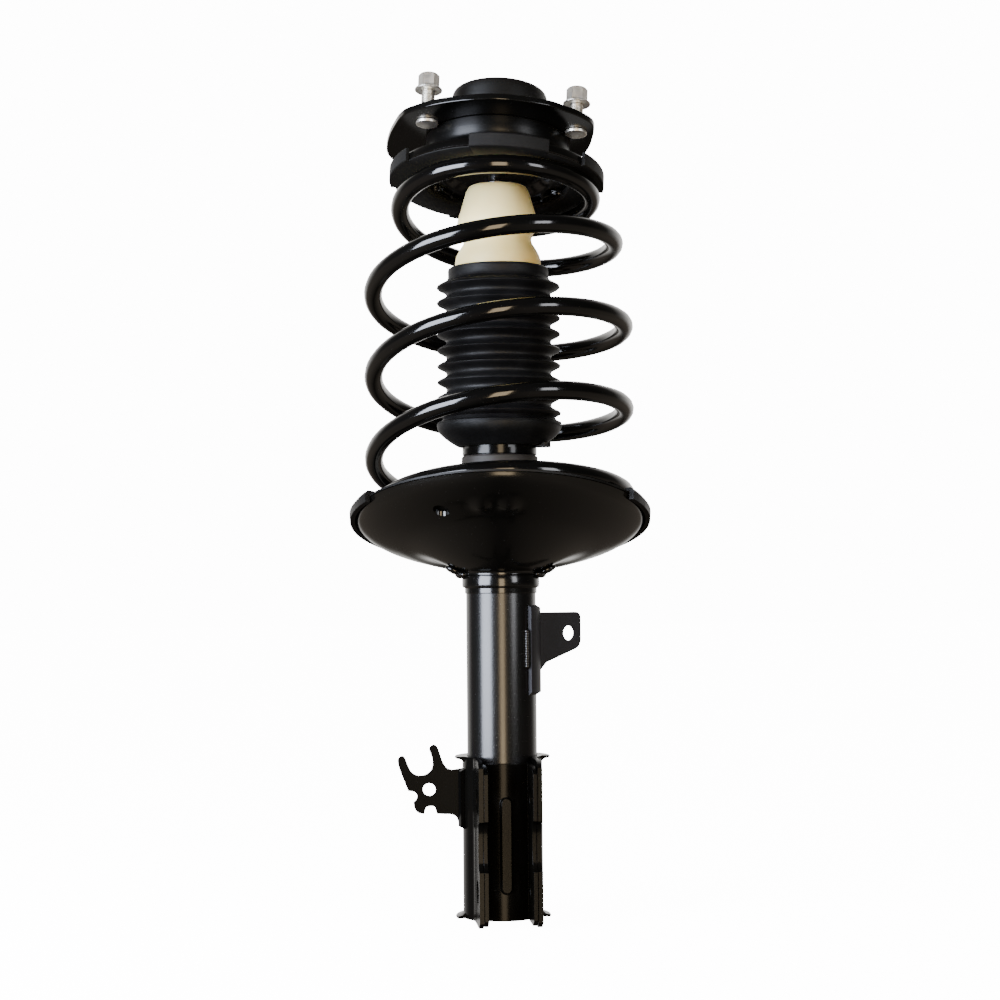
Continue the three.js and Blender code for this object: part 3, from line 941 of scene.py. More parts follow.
@dataclass
class Clamp:
    """The two channels that grip the knuckle: one round the back of the tube, one on its front."""

    tube_fit: float = 25.8
    sheet: float = 3.2
    height: float = 116.0
    half_gap: float = 15.6
    reach: float = 60.0
    turned: float = 5.5
    bolt_r: float = 8.5
    bolt_y: float = -44.0
    bolt_z: Point = (24.0, 88.0)
    waist: Point = (39.5, 74.5)
    waist_depth: float = 7.5
    corner: float = 9.0
    neck: float = 49.0
    web_fit: float = 1.5
    lip_span: float = 206.0
    rib_z: Point = (24, 84)

    def build(self) -> None:
        """Makes both channels."""
        place = turn(self.turned)
        Piece("clamp_channel", "body", Finishes.CLAMP, ("knuckle_clamp",), 0.6).make(self._outer(), place)
        Piece("clamp_liner", "body", Finishes.CLAMP, ("clamp_inner_channel",), 0.6).make(self._inner(), place)

    def _sideways(self, outline: Sequence[Point], low: float = -40, high: float = 40) -> Blank:
        """An outline drawn in Y and Z, raised along X."""
        to_x = Matrix(((0, 0, 1, 0), (1, 0, 0, 0), (0, 1, 0, 0), (0, 0, 0, 1)))
        return Blank().raised([outline], low, high).moved(to_x)

    def _cuts(self, low: float, high: float) -> list[Blank]:
        """The waist, the cut corners and the bolt holes of a pair of flanges.

        Args:
            low: the height of their lower edge.
            high: the height of their upper edge.

        Returns:
            The blanks to cut with.
        """
        front, depth = -self.reach, self.waist_depth
        z0, z1 = self.waist
        waist = [(front - 5, z0), (front, z0), *eased([(front, z0), (front + depth * 0.7, z0 + 2.5),
                 (front + depth, z0 + 9), (front + depth, z1 - 9), (front + depth * 0.7, z1 - 2.5), (front, z1)], 4),
                 (front - 5, z1)]
        made = [self._sideways(waist[1:] + waist[:1])]
        for z, up in ((low, -1), (high, 1)):
            made.append(self._sideways([
                (front - 3, z - up * (self.corner - 3)), (front + self.corner, z + up * 0.5),
                (front + self.corner, z + up * 5), (front - 3, z + up * 5)]))
        for z in self.bolt_z:
            made.append(Blank().rod(self.bolt_r, -40, 40).moved(shift(0, self.bolt_y, z) @ turn(90, "Y")))
        return made

    def _channel(self, flange: float, back: list[Point], front: list[Point]) -> list[Point]:
        """A channel's outline in plan: two flanges joined by a bow.

        Args:
            flange: how far a flange's inner face is from the middle.
            back: the bow's outer line.
            front: its inner line.

        Returns:
            The outline.
        """
        out = flange + self.sheet
        return [(-out, -self.reach), (-flange, -self.reach), *front,
                (flange, -self.reach), (out, -self.reach), *back]

    def _outer(self) -> Blank:
        """The outer channel, necked in to its flanges, with a rolled lip at each end.

        Returns:
            The blank.
        """
        flange = self.half_gap + self.sheet + 0.3
        neck = self.neck - 90
        inner = [(-flange, -24), *arc(self.tube_fit, 180 - neck, neck, 64), (flange, -24)]
        outside = [(flange + self.sheet, -25), *arc(self.tube_fit + self.sheet, neck + 3, 180 - neck - 3, 64),
                   (-flange - self.sheet, -25)]
        made = Blank().raised([self._channel(flange, outside, inner)], 0, self.height)
        for low, up in ((0, 1), (self.height, -1)):
            z = [low, low + up * 1.6, low + up * 3.6, low + up * 5.2]
            lip = [(28, z[0]), (34.2, z[0]), (34.6, low + up * 0.8), (34.0, z[1]), (31, z[1] + up * 0.6), (29.4, z[2]),
                   (28, z[3])]
            ring = Blank().turned(lip, 72, self.lip_span)
            made.joined(ring.moved(turn(90 - self.lip_span / 2)))
        return made.cut(*self._cuts(0, self.height))

    def _inner(self) -> Blank:
        """The inner channel, with its web against the tube and a long rib pressed in the web.

        Returns:
            The blank.
        """
        web = math.degrees(math.asin((self.half_gap - self.web_fit) / self.tube_fit))
        radius = self.tube_fit + self.sheet
        face = [(-self.half_gap, -32), *arc(radius, -90 - web, -90 + web, 24), (self.half_gap, -32)]
        behind = [(self.half_gap + self.sheet, -21.5), *arc(self.tube_fit, -90 + web + 3, -90 - web - 3, 24),
                  (-self.half_gap - self.sheet, -21.5)]
        made = Blank().raised([self._channel(self.half_gap, behind, face)], 1, self.height - 4)
        rib, edges = Blank(), []
        for end_r, height in ((5.4, 0.0), (3.4, 2.4)):
            line = [*arc(end_r, 0, 180, 16, (0, self.rib_z[1])), *arc(end_r, 180, 360, 16, (0, self.rib_z[0]))]
            edges += rib.loop((x, y, height) for x, y in line)[1]
        bmesh.ops.bridge_loops(rib.bm, edges=edges)
        bmesh.ops.holes_fill(rib.bm, edges=[e for e in rib.bm.edges if e.is_boundary])
        bmesh.ops.recalc_face_normals(rib.bm, faces=rib.bm.faces)
        rib.moved(shift(0, 1.2 - radius, 0) @ turn(90, "X"))
        return made.joined(rib).cut(*self._cuts(1, self.height - 4))


@dataclass
class Brackets:
    """The brake hose bracket and the sensor lead bracket, with their welds."""

    tube_r: float = 25.4
    sheet: float = 3.0

    def build(self) -> None:
        """Makes both brackets."""
        Piece("hose_bracket", "body", Finishes.BRACKET, ("brake_hose_bracket",), 0.5).make(self._hose())
        Piece("hose_bracket_weld", "body", Finishes.GLOSS, (), 0).make(self._weld())
        Piece("lead_bracket", "body", Finishes.FORK, ("sensor_lead_bracket",), 0.5).make(self._fork())

    def _upright(self, loops: Sequence[Sequence[Point]], y: float) -> Blank:
        """Outlines drawn in X and Z, raised from y towards +Y by the sheet's thickness."""
        return Blank().raised(loops, -self.sheet, 0).moved(shift(0, y, 0) @ turn(90, "X"))

    def _hose(self) -> Blank:
        """A saddle on the tube and a tab bent back from it, with one hole.

        Returns:
            The blank.
        """
        inner = self.tube_r + 0.4
        saddle = Blank().turned([
            (inner, 160), (inner + self.sheet, 162), (inner + self.sheet, 223), (inner, 225)], 20, 54)
        saddle.moved(turn(-41))
        tab = [(0, 176), (7, 183), *eased([(33, 192), (36.6, 194.2), (38.4, 198.2), (38.5, 202)], 4),
               *arc(4.3, 0, 90, 6, (34.2, 215.2)), (0, 219.5)]
        hole = arc(5.6, 345, 0, 23, (28, 204))
        plate = self._upright([tab, hole], 0).moved(turn(35)).moved(shift(self.tube_r + 2, -1, 0))
        return saddle.joined(plate)

    def _weld(self) -> Blank:
        """The bead along the saddle's front edge, laid in short overlapping drops.

        Returns:
            The blank.
        """
        bead, start, end, drops = Blank(), 181.0, 206.0, 15
        for i in range(drops):
            z = start + (end - start) * i / (drops - 1)
            bead.ball((2.1, 2.1, 1.9), (*polar(self.tube_r + 0.9, -44.5 + 0.5 * math.sin(i * 2.1)), z))
        return bead

    def _fork(self) -> Blank:
        """The forked plate with its hole and notches, and the foot welded on the clamp.

        Returns:
            The blank.
        """
        outline = [
            (-30, 107), *eased([(-36.5, 105.9), (-40.2, 107.2), (-43, 111.2), (-44.8, 116), (-46.4, 120.8),
                                    (-48.2, 123.6), (-50.6, 124), (-53, 121.6), (-51.8, 117.6), (-50.7, 113.6),
                                    (-50.7, 108.8), (-52.6, 104.8), (-57, 102.2), (-62.4, 102.2), (-66.4, 105),
                                    (-68.8, 109.8), (-70.8, 114.8), (-73, 116.2), (-75.6, 114.4), (-75.7, 111),
                                    (-74.1, 105.4), (-71.2, 98), (-68.5, 91)], 3),
            *eased([(-66.1, 90.7), (-63.3, 89.8), (-62, 87.6), (-62.6, 84.8), (-64.6, 82.8)], 3),
            *eased([(-64.2, 79.6), (-62.8, 76.6), (-60.4, 74.9), (-57, 74.2)], 3),
            *eased([(-56.2, 76.8), (-55.2, 79.1), (-52.2, 79.9), (-49.4, 79.4), (-48.4, 76.8)], 3),
            *eased([(-47.5, 74.3), (-42, 74), (-37.4, 73.8), (-33.8, 72.2), (-32.2, 68.4), (-31, 64.6)], 3),
            (-30, 64.2)]
        hole = arc(4.6, 345, 0, 23, (-53.2, 91.8))
        plate = self._upright([outline, hole], -3.5)
        foot = Blank().turned([(29.4, 64), (32.2, 65.5), (32.2, 105.5), (29.4, 107)], 16, 34)
        return plate.joined(foot.moved(turn(167)))


# ---- spring and seats ---------------------------------------------------------------------------------


@dataclass
class LowerSeat:
    """The pressed pan that the spring stands on, its rubber pad and the ring that carries it."""

    slope: float = 0.264
    climb: Point = (30, 75)
    rim_r: float = 105.5
    lip_r: float = 110.0
    lip_ends: Point = (-150.0, -31.0)
    front_top: float = 290.4
    steps: int = 160
    drain: tuple[float, float, float] = (-41.0, -73.0, 5.6)
    dimples: tuple[Point, ...] = ((-13.0, -84.0), (6.2, -84.0))
    dimple_r: float = 9.5
    dimple_depth: float = 3.2

    def build(self) -> None:
        """Makes the pan, the pad, the ring and the welds between them."""
        Piece("spring_pan", "body", Finishes.GLOSS, ("lower_spring_seat",), 0.5).make(self._pan())
        Piece("spring_pan_pad", "body", Finishes.PAD, ("lower_spring_pad",), 0.5).make(self._pad())
        Piece("pan_ring", "body", Finishes.GLOSS, ("seat_support_ring",)).make(self._ring())
        Piece("pan_welds", "body", Finishes.GLOSS, (), 0).make(self._welds())

    def rise(self, co: Vector) -> Vector:
        """Lifts a point of the pan, which climbs towards -Y outside its hub.

        Args:
            co: the point on the level pan.

        Returns:
            Its place on the climbing one.
        """
        lift = -co.y * self.slope * smoothstep(*self.climb, math.hypot(co.x, co.y))
        return Vector((co.x, co.y, co.z + lift))

    def _dented(self, co: Vector) -> Vector:
        """Lifts a point of the pan, and presses two soft dimples down at its front.

        Args:
            co: the point on the level pan.

        Returns:
            Its place on the finished one.
        """
        lifted = self.rise(co)
        for x, y in self.dimples:
            near = 1 - smoothstep(0, self.dimple_r, math.hypot(co.x - x, co.y - y))
            lifted.z -= self.dimple_depth * near
        return lifted

    def _pan(self) -> Blank:
        """The pan: one thin dish with a flared rim, a hub and a drain hole.

        Returns:
            The blank.
        """
        under = [(28.3, 247.3), (28.9, 249.4), (34, 252), (42, 255.5), (52, 260), (64, 265), (78, 270), (90, 274.5),
                 (98, 278.5), (103.5, 283), (105.5, 288.5)]
        over = [(102.8, 288.5), (100.6, 284.2), (95.6, 280.6), (88.5, 277.3), (77, 272.8), (63, 267.6), (51, 262.7),
                (41, 258.3), (33, 254.9), (25.8, 253)]
        profile = [(25.8, 247.3), *eased(under, 5), *eased(over, 5)]
        x, y, radius = self.drain
        hole = Blank().rod(radius, 240, 320).moved(shift(x, y, 0))
        return Blank().turned(profile, self.steps).shaped(self._dented).cut(hole)

    def _pad(self) -> Blank:
        """The pad: a trough for the wire, and a lip that folds over the pan's rim except along its front.

        Returns:
            The blank.
        """
        trough = [(70, 271.2), (77, 273.9), (88, 278.2), (95, 281.6), (99.7, 285), (101.9, 289), (106, 289)]
        lip = [(106, 284.5), (109.6, 284.5), (110, 290)]
        back = [(107.5, 293), (101.5, 292.5), (99.8, 287.8), (92, 284.2), (84, 283.2), (75, 279), (70, 275)]
        pad = Blank().turned([*eased(trough, 4)[:-4], trough[-1], *lip, *eased(back, 4)], self.steps).shaped(self.rise)
        first, last = self.lip_ends
        for inner_r, low in ((self.rim_r + 0.3, 230), (self.rim_r - 7.5, self.front_top)):
            open_front = [*arc(self.lip_r * 1.2, first, last, 30), *arc(inner_r, last, first, 60)]
            pad.cut(Blank().raised([open_front], low, 320).shaped(self._lift))
        return pad

    def _lift(self, co: Vector) -> Vector:
        """Lifts a tool with the climbing rim."""
        return Vector((co.x, co.y, co.z - co.y * self.slope))

    def _ring(self) -> Blank:
        """The support ring: a band over a thin neck.

        Returns:
            The blank.
        """
        profile = [(25.8, 233.5), (26.2, 233.8), (26.3, 237.6), (27.2, 237.9), (28.0, 238.6), (28.2, 239.8),
                   (28.2, 246), (27.6, 247), (25.8, 247)]
        return Blank().turned(profile, 128)

    def _welds(self) -> Blank:
        """Beads between the ring and the pan, broad at the sides and small at the back.

        Returns:
            The blank.
        """
        beads = Blank()
        for middle, broad in ((-8, True), (188, True), (90, False)):
            for i in range(-5, 6):
                swell = 1 - (i / 7) ** 2
                beads.ball((2.6 * swell + 1.2, 2.4, 2.0 * swell + 0.9), (*polar(29.6, middle + i * 3.4), 247.4))
            if broad:
                wedge = Blank().ball((7.4, 5.6, 2.5), (0, 0, 0))
                beads.added(wedge.moved(turn(middle) @ shift(34, 0, 250.2) @ turn(-24, "Y")))
        return beads


@dataclass
class CoilSpring:
    """The coil spring: end turns flat on their seats, the top ones closed in to the smaller seat."""

    wire_r: float = 6.65
    radius: float = 92.0
    pitch: float = 60.7
    bottom: float = 292.6
    top: float = 525.2
    free_z: float = 363.5
    soft: float = 5.0
    first: int = -600
    last: int = 1180
    step: int = 5
    slopes: Point = (0.264, 0.164)
    side: float = 0.035
    side_in: Point = (0, 0.2)
    side_out: Point = (0.85, 1)
    roll: float = math.tan(math.radians(2.5))
    section: int = 5
    end_inset: float = 1.2
    crease: float = 50.0
    closing: float = 23.0
    closing_turn: Point = (560, 1000)
    tuck: float = 4.0
    tuck_turn: Point = (-600, -420)

    def _share(self, degrees: float) -> float:
        """How far up between the seats the wire is.

        Args:
            degrees: the angle along the wire.

        Returns:
            The share, from 0 to 1.
        """
        free = self.free_z + self.pitch * degrees / 360
        above = self.bottom + self.soft * math.log1p(math.exp((free - self.bottom) / self.soft))
        centre = self.top - self.soft * math.log1p(math.exp((self.top - above) / self.soft))
        return (centre - self.bottom) / (self.top - self.bottom)

    def _point(self, degrees: float) -> Vector:
        """The wire's middle, in millimetres.

        Args:
            degrees: the angle along the wire.

        Returns:
            The point.
        """
        radius = (self.radius - self.closing * smoothstep(*self.closing_turn, degrees)
                  - self.tuck * (1 - smoothstep(*self.tuck_turn, degrees)))
        share = self._share(degrees)
        centre = self.bottom + share * (self.top - self.bottom)
        slope = self.slopes[0] + (self.slopes[1] - self.slopes[0]) * share
        side = (self.side * smoothstep(*self.side_in, share)
                - (self.side + self.roll) * smoothstep(*self.side_out, share))
        x, y = polar(radius, degrees)
        return Vector((x, y, centre - slope * y + side * x))

    def build(self) -> None:
        """Sweeps the wire along its line, and works out each length's share of the stroke."""
        angles = list(range(self.first, self.last + 1, self.step))
        path = [self._point(a) for a in angles]
        path.insert(1, path[0].lerp(path[1], self.end_inset / (path[1] - path[0]).length))
        path.insert(-1, path[-1].lerp(path[-2], self.end_inset / (path[-2] - path[-1]).length))
        shares = [self._share(a) for a in angles]
        shares.insert(1, shares[0])
        shares.insert(-1, shares[-1])
        coil = placed("spring_wire", self._swept(path))
        self._follow(coil, path, shares)
        Piece("spring_wire", "body and rod", Finishes.WIRE, ("coil_spring",)).settle(coil)

    def _swept(self, path: Sequence[Vector]) -> bpy.types.Mesh:
        """Sweeps the wire's round section along its line, a little thinner at its two ends.

        Args:
            path: the points of the line, in millimetres.

        Returns:
            The wire's mesh.
        """
        curve = bpy.data.curves.new("wire", "CURVE")
        curve.dimensions = "3D"
        curve.bevel_depth = self.wire_r * MM
        curve.bevel_resolution = self.section
        curve.use_fill_caps = True
        line = curve.splines.new("POLY")
        line.points.add(len(path) - 1)
        for point, place in zip(line.points, path):
            point.co = (*(place * MM), 1.0)
        for end in (line.points[0], line.points[-1]):
            end.radius = 1 - self.end_inset / self.wire_r
        swept = placed("wire", curve)
        mesh = bpy.data.meshes.new_from_object(swept.evaluated_get(bpy.context.evaluated_depsgraph_get()))
        bpy.data.objects.remove(swept)
        bpy.data.curves.remove(curve)
        for polygon in mesh.polygons:
            polygon.use_smooth = True
        mesh.set_sharp_from_angle(angle=math.radians(self.crease))
        return mesh

    def _follow(self, coil: bpy.types.Object, path: Sequence[Vector], shares: Sequence[float]) -> None:
        """Bakes the coil's place into its mesh and finds each vertex's share from its nearest point on the line; the
        shares are not used further.

        Args:
            coil: the swept wire.
            path: the points of its line, in millimetres.
            shares: how much of the stroke each point follows.
        """
        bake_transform(coil)
        tree = kdtree.KDTree(len(path))
        for index, place in enumerate(path):
            tree.insert(place * MM, index)
        tree.balance()
        weights = [shares[tree.find(vertex.co)[1]] for vertex in coil.data.vertices]


@dataclass
class Bellows:
    """The boot over the rod: a cuff, nine ridges, and a bulge that tapers to the striker cap."""

    foot: float = 340.6
    ridge_r: float = 45.4
    valley_r: float = 38.4
    first_ridge: float = 364.9
    pitch: float = 11.65
    ridges: int = 9
    wall: float = 1.9
    cuff_r: float = 37.0
    mouth_r: float = 32.2
    top: float = 472.0
    keep: float = 0.11
    tab_turn: float = -15.0
    tab_r: float = 30.8
    tab_z: float = 341.4
    samples: int = 10

    def build(self) -> None:
        """Makes the boot with a vent tab, and gives it a mesh of its own."""
        boot = Blank().turned(self._profile(), 128)
        tab = Blank().raised([eased([(-4, 0), (-3.6, 6), (0, 7.5), (3.6, 6), (4, 0), (3.4, -3), (-3.4, -3)], 4, True)],
                             -1.8, 1.8)
        boot.added(tab.moved(turn(self.tab_turn) @ shift(self.tab_r, 0, self.tab_z) @ turn(-90)))
        made = Piece("bellows", "body", Finishes.BOOT, ("dust_boot",), 0.3, 50).make(boot)
        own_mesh(made)

    def _outside(self) -> list[Point]:
        """The outside, from the foot to the cuff's top.

        Returns:
            Its line.
        """
        line = eased([(29.6, 340.8), (31.0, 341.2), (35.0, 343.6), (40.0, 347.2), (44.2, 351.4), (45.8, 355.6),
                      (45.4, 358.4)], 4)
        middle, swing = self.valley_r, self.ridge_r - self.valley_r
        count = self.ridges * self.samples
        start = self.first_ridge - self.pitch * 0.36
        for i in range(count + 1):
            z = start + (self.pitch * (self.ridges - 0.28)) * i / count
            wave = 0.5 + 0.5 * math.cos(TURN * (z - self.first_ridge) / self.pitch)
            line.append((middle + swing * wave ** 1.5, z))
        top = self.first_ridge + (self.ridges - 1) * self.pitch
        line += eased([(38.0, top + 4.6), (self.cuff_r, top + 7.2), (self.cuff_r, self.top - 2),
                       (self.cuff_r - 0.5, self.top - 0.5), (self.cuff_r - 1.6, self.top)], 3)
        return line

    def _profile(self) -> list[Point]:
        """The outside and, one wall in, the inside.

        Returns:
            The outline to turn.
        """
        outside = self._outside()
        inside = []
        for index in range(len(outside) - 1, -1, -2):
            before, after = outside[max(index - 1, 0)], outside[min(index + 1, len(outside) - 1)]
            along = Vector((after[0] - before[0], after[1] - before[1])).normalized()
            r, z = outside[index]
            inside.append((r - along.y * self.wall, min(self.top, max(self.foot + 0.4, z + along.x * self.wall))))
        return outside + [(self.mouth_r, self.top), (self.mouth_r, self.top - 10)] + [
            p for p in inside if p[1] < self.top - 13]


@dataclass
class BumpStop:
    """The foam stop under the mount: a cone over a waist, and a flared foot."""

    bore: float = 11.3
    foot: float = 455.0
    top: float = 533.0
    keep: float = 0.455

    def build(self) -> None:
        """Makes the stop, and gives it a mesh of its own."""
        line = [(18.4, self.foot), (21, 457.2), (24, 461), (28.4, 464.6), (30.9, 468.6), (31.6, 474), (30.9, 480),
                (28.2, 485.6), (25.4, 490.2), (24.8, 494), (26.8, 498.6), (29.4, 502.6), (29.8, 505.6),
                (28.6, 510.4), (26.2, 518), (24, 526), (22.6, 530), (20.8, 532.4), (18, self.top)]
        profile = [(self.bore, self.foot), *eased(line, 4), (self.bore, self.top)]
        made = Piece("bump_foam", "rod", Finishes.FOAM, ("bump_stop",), 0.5, 50).make(Blank().turned(profile, 96))
        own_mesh(made)


# ---- top mount ----------------------------------------------------------------------------------------


@dataclass
class TopMount:
    """Everything over the spring, built about the mount's leaning centre."""

    centre_z: float = 548.0
    lean: float = 9.3
    roll: float = 2.5
    plate_z: float = 18.5
    plate: float = 3.0
    stud_circle: float = 62.5
    stud_angles: tuple[float, ...] = (-145.0, -25.0, 95.0)
    stud_names: tuple[str, ...] = ("left", "right", "rear")
    curl_angles: tuple[float, ...] = (-35.0, -145.0, 35.0, 145.0)
    pad_tabs: tuple[float, ...] = (-83.0, -166.0, -16.0, 97.0)
    tab_span: float = 42.0
    balls: int = 10
    rod_hole: float = 7.3
    edge: tuple[Point, ...] = (
        (-176, 80.6), (-163, 79.6), (-150, 81.4), (-139.5, 81.6), (-118, 79.6), (-91, 80.1), (-65.6, 79.8),
        (-52, 78.8), (-42, 79.4), (-32, 79.4), (-24, 76.4), (-9, 70), (4, 67.6), (18, 66.6), (36, 67.6), (54, 71.6),
        (72, 77), (90, 81), (108, 83), (126, 86), (143, 89.6), (156, 89.6), (167, 86))
    nut_seats: tuple[float, ...] = (42.0, 39.0, 39.0)
    steps: int = 128
    place: Matrix = field(init=False)

    def __post_init__(self) -> None:
        """Works out the leaning frame."""
        self.place = shift(0, 0, self.centre_z) @ turn(-self.lean, "X") @ turn(self.roll, "Y")

    def build(self) -> None:
        """Makes every piece of the mount."""
        self._seat()
        self._bearing()
        self._housing()
        self._studs()
        self._rod_nut()

    def _level(self, radius: float, low: float, high: float) -> Blank:
        """A post on the damper's own axis, seen from the leaning frame."""
        return Blank().rod(radius, low, high).moved(self.place.inverted())

    def _seat(self) -> None:
        """The upper spring seat, with four pressed lips under it, and its rubber pad with tabs over the rim."""
        dish = Blank().turned([
            (0, -5), *eased([(30, -5), (33.5, -5.4), (36.5, -7.6), (39.5, -9.6), (43, -10)], 3), (66, -10),
            (73.3, -10), (73.3, -13), (74, -13.9), (75.4, -13.9), (76, -13.2), (76, -9.6), (75, -7.6), (73.5, -7.3),
            *eased([(42.5, -7.3), (39.0, -6.2), (36.2, -3.6), (33, -2.3)], 3), (0, -2.3)], self.steps)
        curls = Blank()
        for angle in self.curl_angles:
            lip = Blank().turned([(6.05, -9.8), (6.1, -12.2), (7, -13.2), (8.2, -12.8), (8.6, -11.2), (8.8, -9.8)], 48)
            curls.added(lip.moved(turn(angle) @ shift(52, 0, 0) @ Matrix.Diagonal((1, 1.5, 1, 1))))
        dish.cut(self._level(self.rod_hole, 500, 600)).added(curls)
        Piece("upper_pan", "rod", Finishes.GLOSS, ("upper_spring_seat",), 0.4).make(dish, self.place)

        ring = Blank().turned([(55, -15.4), (75.2, -15.4), (76, -15.0), (76, -14.2), (73, -14.2), (73, -10.3),
                               (52, -10.3), (52, -13.4), (53.2, -15.0)], self.steps)
        for middle in self.pad_tabs:
            tab = Blank().turned([(74, -15.4), (78.4, -15.4), (79, -14.8), (79, -6.4), (78.4, -5.5), (76.3, -5.5),
                                  (76.3, -14.2), (74, -14.2)], 24, self.tab_span)
            ring.joined(tab.moved(turn(middle - self.tab_span / 2)))
        Piece("upper_pan_pad", "rod", Finishes.TAB, ("upper_spring_pad",), 0.5).make(ring, self.place)

    def _bearing(self) -> None:
        """The two races, and the cage with its balls."""
        inner = Blank().turned([
            (0, -2), (24, -2), (24, 1.5), (20, 3.5), (20, 20), (17, 24), (17, 32), (0, 32)], 96)
        inner.cut(self._level(self.rod_hole, 500, 600), self._level(60, 574, 620))
        Piece("inner_race", "rod", Finishes.STEEL, ("bearing_inner_race",)).make(inner, self.place)
        outer = Blank().turned([
            (27.2, 3.2), (31, 3.2), (31, 13), (27.2, 13), (27.2, 9.8), (27.7, 8), (27.2, 6.2)], 96)
        Piece("outer_race", "top_mount", Finishes.STEEL, ("bearing_outer_race",)).make(outer, self.place)
        cage = Blank().turned([(22.2, 7), (24.8, 7), (24.8, 9), (22.2, 9)], 64)
        for i in range(self.balls):
            cage.ball((3.1, 3.1, 3.1), (*polar(23.5, 360 * i / self.balls), 8))
        Piece("ball_ring", "ball_cage", Finishes.STEEL, ("bearing_ball_cage",), 0.2).make(cage, self.place)

    def _outline(self, inset: float) -> list[Point]:
        """The plate's edge: corners at the front studs, a flat right side, a full rear left one.

        Args:
            inset: how far inside the edge the line runs.

        Returns:
            The line.
        """
        return eased([polar(r - inset, angle) for angle, r in self.edge], 6, True)

    def _housing(self) -> None:
        """The plate with its rolled edge, the cup, the rubber and the drum that holds it."""
        top = self.plate_z + self.plate
        plate = Blank().raised([self._outline(1.4)], self.plate_z, top)
        rim = Blank().raised([self._outline(0), self._outline(2.4)], self.plate_z, top + 1.6)
        plate.joined(rim).cut(Blank().rod(33, 0, 60, 96))
        for angle in self.stud_angles:
            plate.cut(self._at_stud(Blank().rod(5.3, 0, 40, 32), angle))
        Piece("tower_plate", "top_mount", Finishes.GLOSS, ("mount_plate",), 0.8).make(plate, self.place)
        cup = Blank().turned([
            (33.2, top + 0.3), (40, top + 0.3), (40, top + 1.4),
            *eased([(38.4, top + 1.6), (36.9, top + 3.2), (36.0, top + 8), (35.7, 47), (35.2, 52.6), (34.2, 55.2),
                    (32.0, 56.3), (29.6, 56.5)], 4),
            (26.4, 56.5), (26, 56.1), (26, 54.4), (31, 54.3), (32.6, 52.5), (33.1, 47)], self.steps)
        Piece("cup", "top_mount", Finishes.CAP, ("top_cup",), 0.4).make(cup, self.place)
        rubber = Blank().turned([(31.3, 4), (38, 3.6), (48.8, 6.4), (48.8, 18.2), (46, 17.4), (40, 16.4), (35, 17.4),
                                 (32.6, 18.2), (31.3, 26)], self.steps)
        Piece("mount_cushion", "top_mount", Finishes.PAD, ("mount_rubber",)).make(rubber, self.place)
        drum = Blank().turned([
            (36, 0.4), *eased([(42, 0.4), (46.5, 1.4), (50.5, 3.8), (52.6, 7.2), (53.4, 12)], 4), (53.4, 18.2),
            (49.3, 18.2), *eased([(49.3, 10), (48.6, 6.6), (46.0, 4.2), (42.4, 2.9)], 3), (36, 2.8)], self.steps)
        Piece("drum", "top_mount", Finishes.DRUM, ("mount_drum",), 0.4).make(drum, self.place)

    def _at_stud(self, blank: Blank, degrees: float) -> Blank:
        """Moves a blank from the axis to a stud."""
        return blank.moved(shift(*polar(self.stud_circle, degrees), 0))

    def _studs(self) -> None:
        """Three pressed-in studs, each with its flange nut."""
        for name, angle, seat in zip(self.stud_names, self.stud_angles, self.nut_seats):
            stud = Blank().turned([
                (0, 15.8), (6.9, 15.8), (7.8, 16.3), (8, 17.0), (8, 18.2), (5, 18.2), (4.9, 22), (4.4, 24),
                (4.4, seat + 10.5), (3.8, seat + 11.6), (0, seat + 11.6)], 48)
            stud.added(thread(4.4, 0.5, 1.25, 24.5, seat + 10.5))
            Piece(f"{name}_mount_stud", "top_mount", Finishes.ZINC, (f"{name}_stud",), 0.2).make(
                self._at_stud(stud, angle), self.place)
            flange = Blank().turned([(0, seat), (9.4, seat), (10, seat + 0.4), (10, seat + 1.2), (8.6, seat + 2.4),
                                     (0, seat + 2.4)], 64)
            flange.joined(hexagon(7.8, seat + 1.6, seat + 12.6, 1.3))
            flange.cut(Blank().rod(5.25, seat - 5, seat + 20, 48))
            Piece(f"{name}_mount_nut", "top_mount", Finishes.ZINC, (f"{name}_flange_nut",), 0.25).make(
                self._at_stud(flange, angle), self.place)

    def _rod_nut(self) -> None:
        """The washer and the nut on the rod's end."""
        washer = Blank().turned([(7.3, 574.3), (13, 574.3), (13.5, 574.8), (13.5, 576.6), (13, 577), (7.3, 577)], 64)
        Piece("rod_end_washer", "rod", Finishes.ZINC, ("rod_washer",), 0.2).make(washer)
        nut = hexagon(12.1, 577.3, 588).cut(Blank().rod(7.55, 570, 600, 48))
        Piece("rod_end_nut", "rod", Finishes.ZINC, ("rod_nut",), 0.3).make(nut)


# ---- studio -------------------------------------------------------------------------------------------


@dataclass(frozen=True)
class Panel:
    """A softbox: where it hangs about the object, how large it is, and its light."""

    name: str
    azimuth: float
    distance: float
    height: float
    width: float
    tall: float
    power: float
    colour: Colour

    def hang(self, aim: Vector) -> None:
        """Makes the light and points it at the aim.

        Args:
            aim: the point it faces.
        """
        light = bpy.data.lights.new(self.name, "AREA")
        light.shape = "RECTANGLE"
        light.size = self.width
        light.size_y = self.tall
        light.energy = self.power
        light.color = self.colour
        lamp = placed(self.name, light)
        lamp.location = (*polar(self.distance, self.azimuth - 90), self.height)
        lamp.rotation_euler = (aim - lamp.location).to_track_quat("-Z", "Y").to_euler()


